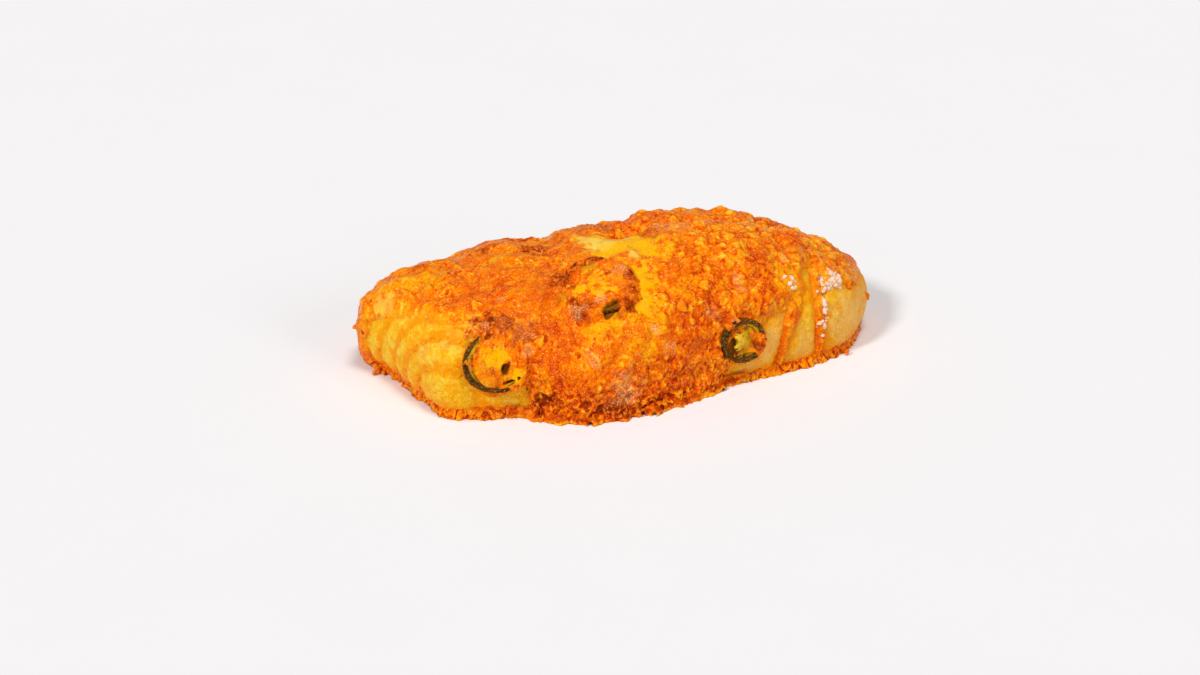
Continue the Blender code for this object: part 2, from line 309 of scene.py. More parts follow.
# even quads of the given size over a closed mesh
def evenQuads(points, faces, size):
    mesh = arrayMesh("plainForm", points, faces)
    obj = bpy.data.objects.new("plainForm", mesh)
    scene.collection.objects.link(obj)
    even = obj.modifiers.new("even", "REMESH")
    even.mode = "VOXEL"
    even.voxel_size = size
    arrays = meshArrays(obj.evaluated_get(bpy.context.evaluated_depsgraph_get()).to_mesh(), 4)
    bpy.data.objects.remove(obj)
    bpy.data.meshes.remove(mesh)
    return arrays


def faceEdges(faces):
    corners = faces.shape[1]
    return np.concatenate([faces[:, [k, (k + 1) % corners]] for k in range(corners)])


# values averaged with their neighbours
def spread(values, edges, rounds):
    a, b = edges.T
    count = np.bincount(a, minlength=len(values)) + np.bincount(b, minlength=len(values))
    columns = np.atleast_2d(values.T).astype(float)
    for _ in range(rounds):
        columns = np.array([
            0.5 * column
            + 0.5 * (np.bincount(a, column[b], len(column)) + np.bincount(b, column[a], len(column)))
            / np.maximum(count, 1)
            for column in columns
        ])
    return columns.T if values.ndim > 1 else columns[0]


def pointNormals(points, faces):
    across = np.cross(points[faces[:, 2]] - points[faces[:, 0]], points[faces[:, -1]] - points[faces[:, 1]])
    total = np.stack([
        sum(np.bincount(faces[:, k], across[:, axis], len(points)) for k in range(faces.shape[1]))
        for axis in range(3)
    ], axis=1)
    return total / np.maximum(lengths(total), 1e-12)[:, None]


# keeps the given faces and drops unused points, with the per-point values that go along
def keepFaces(faces, kept, *arrays):
    faces = faces[kept]
    used = np.unique(faces)
    place = np.zeros(faces.max() + 1, int)
    place[used] = np.arange(len(used))
    return (place[faces], *(array[used] for array in arrays))


def storeValues(mesh, values):
    for name, numbers in values.items():
        attribute = mesh.attributes.new(name, "FLOAT", "POINT")
        attribute.data.foreach_set("value", np.ascontiguousarray(numbers, np.float32))


def addPiece(name, mesh, slotName, finish, *replaced):
    mesh.materials.clear()
    mesh.materials.append(finish)
    mesh.shade_smooth()
    piece = bpy.data.objects.new(name, mesh)
    scene.collection.objects.link(piece)
    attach(piece, "root")
    if replaced:
        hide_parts(*replaced)
    print("made", name, len(mesh.vertices), "points")


class Finish:
    def __init__(self, name):
        self.material = bpy.data.materials.new(name)
        self.material.use_nodes = True
        self.tree = self.material.node_tree
        self.shader = self.tree.nodes["Principled BSDF"]
        self.coordinates = self.tree.nodes.new("ShaderNodeTexCoord").outputs["Object"]

    def node(self, kind, inputs=(), **settings):
        made = self.tree.nodes.new(kind)
        for key, value in settings.items():
            setattr(made, key, value)
        for key, value in dict(inputs).items():
            self.give(made.inputs[key], value)
        return made

    def give(self, socket, value):
        if isinstance(value, bpy.types.NodeSocket):
            self.tree.links.new(value, socket)
        else:
            socket.default_value = value

    def value(self, name):
        return self.node("ShaderNodeAttribute", attribute_name=name).outputs["Fac"]

    # noise with features of a size in millimetres, from 0 to 1
    def noise(self, size, detail=3, roughness=0.55, distortion=0.0):
        inputs = {
            "Vector": self.coordinates, "Scale": 1 / (size * mm), "Detail": detail,
            "Roughness": roughness, "Distortion": distortion,
        }
        return self.node("ShaderNodeTexNoise", inputs).outputs["Fac"]

    # the same round 0
    def swing(self, size, detail, roughness):
        return self.math("SUBTRACT", self.noise(size, detail, roughness), 0.5)

    def math(self, operation, a, b=0.0, c=0.0):
        made = self.node("ShaderNodeMath", operation=operation)
        for socket, value in zip(made.inputs, (a, b, c)):
            self.give(socket, value)
        return made.outputs[0]

    def times(self, value, share):
        return self.math("MULTIPLY", value, share)

    def plus(self, value, amount, noise):
        return self.math("MULTIPLY_ADD", noise, amount, value)

    # value from low to high, as 0 to 1
    def range(self, value, low, high, toLow=0.0, toHigh=1.0):
        inputs = {"Value": value, "From Min": low, "From Max": high, "To Min": toLow, "To Max": toHigh}
        return self.node("ShaderNodeMapRange", inputs, interpolation_type="SMOOTHSTEP").outputs[0]

    def mix(self, share, a, b):
        made = self.node("ShaderNodeMix", data_type="RGBA")
        self.give(made.inputs["Factor"], share)
        sockets = [socket for socket in made.inputs if socket.type == "RGBA"]
        for socket, value in zip(sockets, (a, b)):
            self.give(socket, value)
        return [socket for socket in made.outputs if socket.type == "RGBA"][0]

    # tones given by a place from 0 to 1 and a shade
    def ramp(self, share, tones):
        made = self.node("ShaderNodeValToRGB", {"Fac": share})
        elements = made.color_ramp.elements
        while len(elements) < len(tones):
            elements.new(0.5)
        for element, (place, shade) in zip(elements, tones):
            element.position = place
            element.color = colour(*shade)
        return made.outputs["Color"]

    # one more shade over the colour so far
    def paint(self, share, shade):
        self.base = self.mix(share, self.base, colour(*shade))

    # fine relief, each layer given by its size, detail, roughness, height and strength
    def bump(self, layers):
        normal = None
        for size, detail, roughness, distance, strength in layers:
            height = self.noise(size, detail, roughness)
            inputs = {"Height": height, "Distance": distance * mm, "Strength": strength}
            if normal:
                inputs["Normal"] = normal
            normal = self.node("ShaderNodeBump", inputs).outputs["Normal"]
        self.give(self.shader.inputs["Normal"], normal)

    def set(self, **sockets):
        for name, value in sockets.items():
            self.give(self.shader.inputs[name.replace("_", " ")], value)

    # base colour with the shine and the glow from within that a look names
    def setLook(self, look, roughness):
        self.set(
            Base_Color=self.base, Roughness=roughness, Specular_IOR_Level=look["gloss"],
            Specular_Tint=look["tint"], Subsurface_Weight=look["bleed"], Subsurface_Scale=look["bleedDepth"],
            Subsurface_Radius=look["bleedRadius"],
        )


# colour of a shade given as on a screen, from 0 to 255
def colour(*shade):
    shares = [c / 255 for c in shade]
    return tuple(((c + 0.055) / 1.055) ** 2.4 if c > 0.04 else c / 12.92 for c in shares) + (1,)


dough = {
    "grainSize": 2.6, "grainRise": 0.4, "softSize": 9, "softRise": 0.35, "fineSize": 1.2, "fineRise": 0.12,
    "tones": ((0.12, (255, 168, 2)), (0.46, (255, 192, 14)), (0.88, (255, 212, 68))),
    "speck": (255, 228, 120), "cream": (252, 188, 96), "brown": (244, 146, 20), "stain": (255, 154, 2),
    "base": (196, 128, 62), "under": 2.5,  # shade of the underside and how far up it goes
    "roughness": 0.4, "gloss": 0.08, "tint": (1, 0.68, 0.26, 1),
    "bleed": 0.16, "bleedDepth": 0.0025, "bleedRadius": (1, 0.5, 0.2),
    "bumps": ((1.6, 3, 0.55, 0.8, 0.9), (0.6, 3, 0.7, 0.35, 1.0)),
}
# bare dough: capsules given by their two ends and radius
barePatches = (
    ((-98, -6, 14), (-86, -32, 15), 14.5),
    ((-84, -38, 12), (-62, -47, 8), 13),
    ((-92, -14, 23), (-77, -34, 25), 9.5),
    ((64, -36, 14), (96, -24, 17), 14),
    ((73, -30, 22), (79, -21, 34), 5),
    ((97, -23, 15), (112, 3, 13), 10.5),
    ((42, -41, 5), (60, -37, 6), 4.5),
    ((-30, 50, 9), (-8, 52, 17), 8),
)

# thick dough that stayed pale: x, y, z, radius and strength
creamSpots = (
    (50, -40, 10, 10, 0.9), (60, -36, 16, 9, 0.9), (64, -33, 26, 8, 0.8), (74, -31, 12, 8, 0.6),
    (86, -29, 18, 8, 0.8), (98, -22, 15, 11, 0.95), (108, -8, 12, 10, 0.8),
    (-86, -28, 24, 5, 0.5), (-70, -40, 20, 5, 0.5), (-78, -34, 30, 5, 0.5),
)


def doughFinish():
    finish = Finish("bakedDough")
    mottle = finish.swing(7, 4, 0.6)
    fine = finish.swing(0.9, 3, 0.65)
    tone = finish.plus(finish.plus(finish.value("tone"), 1.7, mottle), 2.5, fine)
    finish.base = finish.ramp(tone, dough["tones"])
    # browning from baking, and by the foot painted light bounced up from the floor
    bakeAndBounceLight = finish.plus(finish.value("bakeAndBounceLight"), 0.9, mottle)
    finish.paint(finish.range(bakeAndBounceLight, 0.05, 1.2), dough["brown"])
    finish.paint(finish.times(finish.value("cream"), 0.8), dough["cream"])
    # pale specks: grains of the dough and painted glints
    speck = finish.range(finish.noise(0.85, 3, 0.6, 0.3), 0.55, 0.68, 0, 0.75)
    finish.paint(speck, dough["speck"])
    stain = finish.plus(finish.value("stain"), 0.9, fine)
    finish.paint(finish.range(stain, 0.1, 1.0, 0, 0.9), dough["stain"])
    finish.paint(finish.value("under"), dough["base"])
    finish.setLook(dough, dough["roughness"])
    finish.bump(dough["bumps"])
    return finish.material


def capsuleDistance(points, start, end, radius):
    start, end = np.array(start, float), np.array(end, float)
    along = end - start
    share = np.clip((points - start) @ along / (along @ along), 0, 1)
    return lengths(points - start - share[:, None] * along) - radius


def bareDistance(points):
    return np.min([capsuleDistance(points, *patch) for patch in barePatches], axis=0)


# grease and thin cheese along the creases at the left, 0 to 1
def creaseStain(points):
    reach = pleatReach(points) + 1.1 * layeredGrain(points, 5, 24)
    total = sum(bell(reach, radius + 0.6, 1.7) for radius in pleats["radii"])
    patchy = 0.65 + 0.45 * layeredGrain(points, 5, 25)
    return 0.85 * total * patchy * smooth(-points[:, 0], 62, 70)


cheese = {
    "thin": 0.9, "thick": 2.6, "ramp": 7, "lump": 1.9, "lumpSize": 7,
    "hem": 0.12,  # gap to the floor
    "margin": 1.3, "dive": 0.9,  # how far past its edge it goes on, and how deep in the dough it ends
    "edgeWobble": 1.2, "wobbleSize": 12, "fineWobble": 1.1, "fineWobbleSize": 4,
    "ragged": 0.9, "raggedSize": 3,  # of the strips and of the edge at the foot
    "rim": 3.4, "rimRight": 1.0, "rimLeft": 1.6,  # height of the cheese round the foot, more at the ends
    "strip": 2.2, "stripWider": 2.0, "stripFill": 0.75, "pleatStrip": 0.15,  # strips down the creases
    # how far round a slice it is shaped, and its height at the slice's rim, in crumbs and in holes
    "sliceReach": 12, "rimHeight": 1.6, "crumbHeight": 5.0, "holeHeight": 1.1,
    "skirtFlare": 4.2, "skirtHeight": 4, "skirtX": (-56, 44), "skirtEnds": 0.35,
    "frillSize": 7, "frillShare": 0.8,
    # size, rise, and how much more it rises on the blistered part and on the rough ones
    "bubbles": (3.2, 0.25, 0.2, 0.4), "fineBubbles": (1.5, 0.14, 0.0, 0.2),
    "creviceSize": 6, "crevice": 0.2, "footCrevice": 0.4,  # depth, and how much more at the foot
    "frill": ((3.6, 1.0), (1.7, 0.9)),  # size and depth of the small frills of the skirt
    # how many, and the ranges of half length, width, rise for each mm of width, and tint
    "lumps": (760, (0.0, 0.6), (0.7, 2.9), (0.3, 0.52), (-0.1, 0.9)),
    "shreds": (860, (0.8, 3.4), (0.45, 1.0), (0.2, 0.4), (-0.5, 1.2)),
    "pits": (190, (0.0, 1.2), (0.4, 1.2), (-0.8, -0.5), (-1.0, -0.6)),
    "tones": (  # from thick and deep to dry
        (0.05, (190, 54, 1)), (0.24, (222, 82, 2)), (0.44, (242, 112, 2)), (0.62, (250, 142, 5)),
        (0.8, (254, 172, 10)), (1.0, (255, 204, 60)),
    ),
    "burnt": ((0.1, (104, 34, 3)), (0.38, (172, 56, 3)), (0.66, (216, 84, 6)), (0.98, (248, 156, 70))),
    # the first two colours are painted: shade in fine crevices, and glints of light
    "fineCreviceShade": (190, 54, 1), "glint": (255, 218, 134), "amber": (248, 150, 8), "yellow": (254, 182, 2),
    "pale": (255, 210, 84), "olive": (188, 152, 16), "dark": (100, 40, 4), "hole": (140, 82, 10),
    "dryAndHighlight": (255, 208, 148), "dusty": (238, 150, 76), "gloss": 0.07, "tint": (1, 0.68, 0.26, 1),
    "bleed": 0.2, "bleedDepth": 0.0025, "bleedRadius": (1, 0.35, 0.08),
    "bumps": ((1.4, 3, 0.6, 0.5, 0.45), (0.5, 2, 0.6, 0.2, 0.7)),
}
slices = {  # a point near the centre, outer radius, turn in degrees and number of chambers
    "left": ((-61.5, -41, 22), 13.0, 20, 3),
    "middle": ((-17.5, -31, 47), 15.5, 75, 3),
    "right": ((44, -40, 20), 10.0, 10, 2),
}
# spots on the cheese: x, y, z, radius and strength
goldSpots = (  # thin and yellow
    (0, -4, 50, 15, 1), (9, -9, 51, 10, 1), (-7, 2, 49, 9, 1), (1, -30, 46, 11, 1), (2, -39, 42, 9, 0.85),
    (-9, -46, 38, 7, 0.75), (-19, -47, 36, 7, 0.6), (4, -48, 34, 9, 0.5), (-3, -53, 28, 6, 0.4),
    (25, -46, 15, 6, 0.3), (4, -54, 17, 5, 0.3), (-79, 4, 39, 7, 0.55), (-87, 5, 37, 8, 0.65),
    (-52, 5, 44, 6, 0.5), (-32, -36, 38, 5, 0.4), (24, -31, 45, 6, 0.4), (62, -21, 45, 6, 0.4),
    (88, -4, 37, 6, 0.4), (-67, 22, 39, 8, 0.4), (15, -17, 52, 8, 0.5), (-69, -41, 31, 5, 0.7),
    (-52, -47, 22, 6, 0.7), (-43, -52, 17, 4, 0.4), (67, -27, 38, 8, 0.55), (-100, 12, 34, 12, 0.5),
    (-20, 40, 40, 14, 0.5), (50, 38, 34, 12, 0.45), (-70, 36, 22, 9, 0.4), (90, 30, 20, 9, 0.4),
)
deepSpots = (  # thick and reddish
    (-63, -16, 39, 8, 0.7), (-35, -48, 30, 12, 0.9), (-41, -52, 20, 12, 0.8), (-25, -58, 8, 10, 0.8),
    (-14, -58, 3, 12, 1), (23, -46, 25, 11, 1), (10, -51, 11, 12, 0.8), (28, -44, 1, 8, 0.9),
    (35, -38, 34, 11, 0.9), (53, -27, 44, 7, 0.9), (54, -34, 36, 8, 1), (78, -2, 43, 9, 0.8),
    (-22, -19, 44, 5, 0.5), (-39, -28, 42, 8, 0.6), (75, 19, 41, 10, 0.5), (37, -42, 19, 9, 0.8),
    (-26, -45, 35, 6, 0.6), (-57, -24, 40, 12, 0.7), (45, 10, 50, 12, 0.6), (20, 30, 46, 14, 0.5),
    (-50, 40, 26, 14, 0.7), (20, 50, 14, 14, 0.7), (70, 44, 12, 10, 0.6), (105, 16, 18, 9, 0.6),
)
paleSpots = ((-8, 1, 50, 7, 1), (-3, -1, 50, 5, 0.6), (3, -18, 50, 2, 0.8), (-98, 5, 31, 5, 0.5))
brownSpots = (
    (-33, 12, 44, 8, 0.9), (-52, 20, 43, 7, 0.85), (-22, 23, 46, 7, 0.6), (-5, 25, 49, 8, 0.85),
    (16, -4, 54, 6, 0.6), (-17, -59, 9, 7, 0.8), (-5, -58, 4, 6, 0.7), (-42, -53, 9, 5.5, 0.85),
    (34, -41, 28, 4, 0.7), (-62, -12, 40, 3, 0.4), (98, 5, 32, 7, 0.5), (-36, 30, 40, 7, 0.7),
    (-80, 13, 40, 5, 0.5), (-70, 22, 40, 6, 0.5), (60, -20, 45, 3, 0.4),
    (12, -48, 30, 4, 0.4), (40, 44, 24, 7, 0.7), (-75, 38, 18, 6, 0.6),
)
# crisp whitish cheese, and some spots that are painted highlights
dryAndHighlightSpots = (  # crisp and whitish
    (-13, -58, 14, 7, 1), (-5, 25, 49, 6, 0.9), (24, -2, 53, 6, 0.5), (-55, -27, 40, 1.5, 1),
    (-24, -57, 24, 3, 0.8), (90, -18, 31.5, 4, 0.9), (87, -24, 29, 3.5, 0.9), (85.5, -28.5, 22, 3, 0.7),
    (68, -28, 37, 2.5, 0.8), (68, -20, 43, 2.5, 1), (45, -31, 42, 3, 0.6), (9, -51, 24, 3, 0.7),
    (4, -48, 33, 3, 0.8), (33, -39, 30, 3, 0.7),
)
calmSpots = (  # smooth: x, y, z, radius and strength
    (-44, -28, 39, 17, 0.6), (-30, -42, 31, 13, 0.5), (14, -30, 45, 12, 0.5), (-60, -8, 40, 10, 0.35),
    (28, -14, 51, 9, 0.3), (8, -46, 30, 10, 0.35),
)
hollows = (  # deep pits: x, y, z, radius and depth
    (-43, -52, 7, 4.8, 2.6), (-47, -50, 6, 2.2, 1.4), (-27, -57, 8, 1.9, 1.6), (16, -51, 4, 1.8, 1.6),
    (-10, -58, 10, 1.5, 1.0), (34, -43, 6, 1.6, 1.4),
)
bigBlisters = (  # x, y, z, radius and rise
    (68, -20, 43, 2.6, 0.9), (55, -31, 40, 2.2, 0.8), (45, -31, 42, 2.0, 0.8), (33, -20, 51, 2.8, 0.9),
    (44, -24, 48, 2.4, 0.8), (91, 7, 37, 2.8, 1.1), (86, 4, 38, 2.4, 1.0), (69, 18, 42, 2.8, 1.1),
    (73, -7, 45, 2.4, 0.9), (99, -12, 29, 2.6, 1.2), (60, 2, 53, 2.6, 0.8), (80, 12, 43, 2.4, 1.0),
    (30, 2, 54, 2.4, 0.8), (57, -10, 51, 2.2, 0.8),
)


def skirtReach(points):
    c = cheese
    start, end = c["skirtX"]
    wide = smooth(points[:, 0], start - 20, start) * (1 - smooth(points[:, 0], end, end + 20))
    flare = c["skirtFlare"] * (c["skirtEnds"] + (1 - c["skirtEnds"]) * wide)
    wavy = 1 + c["frillShare"] * solidWave(points, c["frillSize"], 3)
    return flare * wavy * np.exp(-np.maximum(0, points[:, 2]) / c["skirtHeight"])


# distance inside the edge of the cheese, negative on bare dough, and the same without its strips
def cheeseCover(points):
    c = cheese
    bare = bareDistance(points) + c["edgeWobble"] * solidWave(points, c["wobbleSize"], 1)
    bare += c["fineWobble"] * layeredGrain(points, c["fineWobbleSize"], 21)
    ragged = c["ragged"] * layeredGrain(points, c["raggedSize"], 22)
    x = points[:, 0]
    rim = c["rim"] + c["rimRight"] * smooth(x, 45, 60) + c["rimLeft"] * smooth(-x, 40, 70)
    cover = np.maximum(bare, rim - points[:, 2] + 1.4 * ragged)
    for line in grooves["lines"]:
        half = c["strip"] + c["stripWider"] * smooth(points[:, 2], 15, 25) * (line[1] > 0)
        cover = np.maximum(cover, half + ragged - np.abs(grooveSide(points, line)))
    reach = pleatReach(points)
    for radius in pleats["radii"]:
        stripe = c["pleatStrip"] + 1.8 * ragged - np.abs(reach - radius)
        cover = np.maximum(cover, np.where((pleatFront(points) > 0.3) * (x < -70), stripe, -9))
    return cover, bare


# rounded lumps and strokes over the surface, the highest winning: their height, and a tint of each one's own
class Lumps:
    def __init__(self, points, normals, tree, rng):
        self.points = points
        self.normals = normals
        self.tree = tree
        self.rng = rng
        self.height = np.zeros(len(points))
        self.tint = np.zeros(len(points))

    # one centred on a point: round where half is 0, or else a stroke that goes on for half to each side
    def add(self, index, half, width, lift, tint):
        centre = self.points[index]
        way = np.cross(self.normals[index], self.rng.normal(size=3))
        way /= max(np.linalg.norm(way), 1e-9)
        found = np.array([item[1] for item in self.tree.find_range(Vector(centre), half + width)])
        if not len(found):
            return
        offset = self.points[found] - centre
        along = offset @ way
        across = np.cross(offset, way)
        bend = self.rng.uniform(-0.25, 0.25)
        side = np.sign(across @ self.normals[index]) * lengths(across) + bend * along**2 / max(half, 0.5)
        beyond = np.maximum(np.abs(along) - half, 0)
        share = np.sqrt(np.maximum(0, 1 - (side**2 + beyond**2) / width**2))
        better = abs(lift) * share > np.abs(self.height[found])
        self.height[found[better]] = lift * share[better]
        self.tint[found[better]] = tint * np.sqrt(share[better])

    # many of them, where weights say; ranges are of half length, width, rise for each mm of width, and tint
    def scatter(self, weights, count, half, width, rise, tint):
        centres = self.rng.choice(len(self.points), count, p=weights / weights.sum())
        for index in centres:
            size = width[0] * (width[1] / width[0]) ** (self.rng.random() ** 1.5)
            lift = size * self.rng.uniform(*rise)
            self.add(index, self.rng.uniform(*half), size, lift, self.rng.uniform(*tint))


# How melted cheese lies in and over each slice, in millimetres right of and above its centre as seen from
# the front. Arcs are in degrees, 0 to the right and 90 up. Spots are x, y, radius and strength. turn is
# how far the slice's own right is turned from the front's.
# The dry spots are whitish crisp cheese, and some of them are painted highlights.
sliceCheese = {
    "left": {
        "turn": 11, "pool": 3.5, "cover": (-58, 106), "coverHeight": 4.9, "reach": 4.5, "wobble": 0.5,
        "crumbs": (100, 196),
        "holes": ((4.0, -2.1, 3.1, 1.9, 62), (5.4, -7.1, 2.4, 0.9, 15), (10, -5, 0.8, 0.5, 30)),
        "gold": ((0.5, 2.5, 5.5, 1), (9.5, -3.5, 3.6, 0.9), (-4, 4, 3.5, 0.7), (3, -5, 2.5, 0.6)),
        "brown": (
            (-1.8, 10.8, 2.6, 0.95), (12, 12, 6, 0.85), (6, 14.4, 5.4, 0.9), (-0.2, 15.2, 4, 0.95),
            (16.8, 10.2, 3.5, 0.6), (-6.2, 14, 3.4, 1.0), (-9.6, 11.5, 2.4, 0.9), (-1, -4.5, 3.8, 0.6),
            (8, 5.6, 1.4, 0.5), (-5.4, -0.2, 1.5, 0.5), (-8, 4, 1.6, 0.6), (3.6, 7, 2.6, 0.35),
        ),
        "dryAndHighlight": ((13.5, 4.3, 2.6, 1.0), (-3.8, 13.4, 1.6, 0.8), (12, 12.5, 5, 0.3), (5, 14.5, 4, 0.25)),
        "olive": ((-10.5, 8, 2.5, 0.8), (6, -7, 2, 0.5)),
        "bands": (),
    },
    "middle": {
        "turn": 23, "pool": 3.5, "cover": (-200, 160), "coverHeight": 5.1, "reach": 4.4, "wobble": 1.1,
        "crumbs": (0, 0),
        "holes": ((8.8, -10.8, 5.4, 2.7, 61),),
        "gold": (
            (-5.8, -1.4, 4, 0.95), (3.2, -2.6, 3.6, 0.9), (0, 3.5, 5, 0.6), (7.6, -1.5, 3, 0.8),
            (10.5, -16, 3.4, 0.8), (-4, 8.5, 2.6, 0.4),
        ),
        "brown": (
            (-15, 3.5, 6, 1.1), (-17, 8, 4, 0.9), (-9, 1, 2.2, 0.9), (-3.8, -13.5, 5, 1.15),
            (-8, -9.5, 3.6, 1.05), (0.5, -10.5, 3, 0.8), (13.8, 9.7, 1.6, 1.3), (4.2, 8.1, 2.2, 0.9),
            (-2.6, 7, 2.2, 0.4), (13.6, 5, 2.8, 1.05), (14.5, -1.6, 2.8, 1.05), (15.5, -8, 2.8, 0.95),
            (8, 8.5, 3, 0.6),
        ),
        "dryAndHighlight": ((-5.5, -14.5, 3.4, 1), (-1.5, -12, 2.6, 0.8), (4.3, -7.1, 2.4, 0.9), (9.5, 9.4, 3, 0.9)),
        "olive": ((-12.8, -8.4, 2.6, 0.7), (-3.6, 11.8, 2.6, 0.7), (9, -13, 1.6, 0.6)),
        "bands": (((84, 152), -1.0, 2.2, 1.3), ((96, 166), -3.4, 1.6, 0.9), ((-38, 32), -2.8, 1.4, 0.85)),
    },
    "right": {
        "turn": -25, "pool": 2.7, "cover": (-56, 12), "coverHeight": 4.4, "reach": 2.2, "wobble": 0.35,
        "crumbs": (92, 138),
        "holes": ((-3.8, -1.8, 4.4, 2.9, 96),),
        "gold": ((3.6, -4.5, 3.4, 0.6), (3, 3.6, 3, 0.7)),
        "brown": ((6.0, -2.6, 2.7, 1.0), (-2.2, 5.4, 2.2, 0.95), (1.0, -7, 1.6, 0.6)),
        "dryAndHighlight": ((-3.2, 7.9, 2.0, 0.9), (6.6, -3.4, 0.8, 0.6)),
        "olive": ((1.2, 0.5, 4.4, 0.9), (0.4, -5.5, 3, 0.9)),
        "bands": (),
    },
}


# 1 between two angles and 0 beyond, fading for soft degrees to both sides of each of them
def sector(angle, start, end, soft):
    middle, half = 0.5 * (start + end), 0.5 * (end - start)
    away = np.abs((np.degrees(angle) - middle + 180) % 360 - 180)
    return 1 - smooth(away, half - soft, half + soft)


def turned(right, up, degrees):
    turn = radians(degrees)
    return right * cos(turn) - up * sin(turn), up * cos(turn) + right * sin(turn)


# an oval hole with a ragged edge, 1 inside
def holeShape(right, up, hole, ragged):
    x, y, halfLength, halfWidth, turn = hole
    turn = radians(turn)
    along = (right - x) * cos(turn) + (up - y) * sin(turn)
    across = (up - y) * cos(turn) - (right - x) * sin(turn)
    reach = np.sqrt((along / halfLength) ** 2 + (across / halfWidth) ** 2) + 0.3 * ragged
    return 1 - smooth(reach, 0.75, 1.1)


def stamp(mask, places, values):
    mask[places] = np.maximum(mask[places], values)


# the cheese's own height and masks within reach of the slices
def cheeseAtSlices(points, beds):
    height = np.zeros(len(points))
    share = np.zeros(len(points))
    keys = ("brown", "gold", "dryAndHighlight", "olive", "hole", "inside", "near")
    masks = {key: np.zeros(len(points)) for key in keys}
    for name, bed in beds.items():
        c = sliceCheese[name]
        near = np.flatnonzero(lengths(points - np.array(bed.centre)) < bed.radius + cheese["sliceReach"])
        spots = points[near]
        right, up = turned(*bed.seen(spots), c["turn"])
        ragged = 1.3 * layeredGrain(spots, 2.6, 84)
        reach = np.sqrt(right**2 + up**2) + c["wobble"] * layeredGrain(spots, 5, 81)
        angle = np.arctan2(up, right) + 0.3 * grain(spots, 4, 82)
        inner = bed.radius - pepper["wall"]
        over = sector(angle, *c["cover"], 12) if c["cover"][1] - c["cover"][0] < 360 else 1.0
        over = over * (1 - smooth(reach, bed.radius + 0.2, bed.radius + c["reach"]))
        over = over * smooth(reach, inner - 1.5, inner + 0.6)
        hole = np.max([holeShape(right, up, one, ragged) for one in c["holes"]], axis=0)
        inside = 1 - smooth(reach, inner - 0.9, inner + 0.2)
        own = c["pool"] + 0.5 * layeredGrain(spots, 4, 83)
        rim = cheese["rimHeight"]
        own = np.where(inside > 0, rim + (own - rim) * inside, rim)
        high = c["coverHeight"] + 0.4 * layeredGrain(spots, 2.6, 85) + 0.5 * grain(spots, 9, 86)
        own = own + (high - own) * over
        bits = sector(angle, *c["crumbs"], 8) * smooth(layeredGrain(spots, 3.0, 88), 0.06, 0.3)
        bits = bits * smooth(reach, inner - 1, inner) * (1 - smooth(reach, bed.radius, bed.radius + 1))
        own = own + (cheese["crumbHeight"] - own) * bits
        own = own + (cheese["holeHeight"] - own) * hole
        weight = np.maximum(1 - smooth(reach, bed.radius - 0.5, bed.radius + 1.8), over)
        height[near] = own
        stamp(share, near, weight)
        stamp(masks["near"], near, weight)
        stamp(masks["inside"], near, inside)
        stamp(masks["hole"], near, hole)
        stamp(masks["brown"], near, 0.6 * bits)
        offset = np.column_stack([right, up])
        patchy = np.clip(0.9 + 0.6 * layeredGrain(spots, 3.4, 89), 0.2, 1.25)
        for key in ("gold", "brown", "dryAndHighlight", "olive"):
            for *place, radius, strength in c[key]:
                mark = blot(lengths(offset - np.array(place)), radius, ragged)
                stamp(masks[key], near, strength * mark * patchy)
        beyond = reach - bed.radius
        for arc, low, high, strength in c["bands"]:
            band = sector(angle, *arc, 10) * smooth(beyond + 0.8 * ragged, low - 0.6, low + 0.6)
            band = band * (1 - smooth(beyond + 1.2 * ragged, high - 0.6, high + 0.6))
            band = band * np.clip(0.8 + 1.1 * layeredGrain(spots, 3.6, 87), 0, 1.3)
            stamp(masks["brown"], near, strength * band)
    return height, share, masks


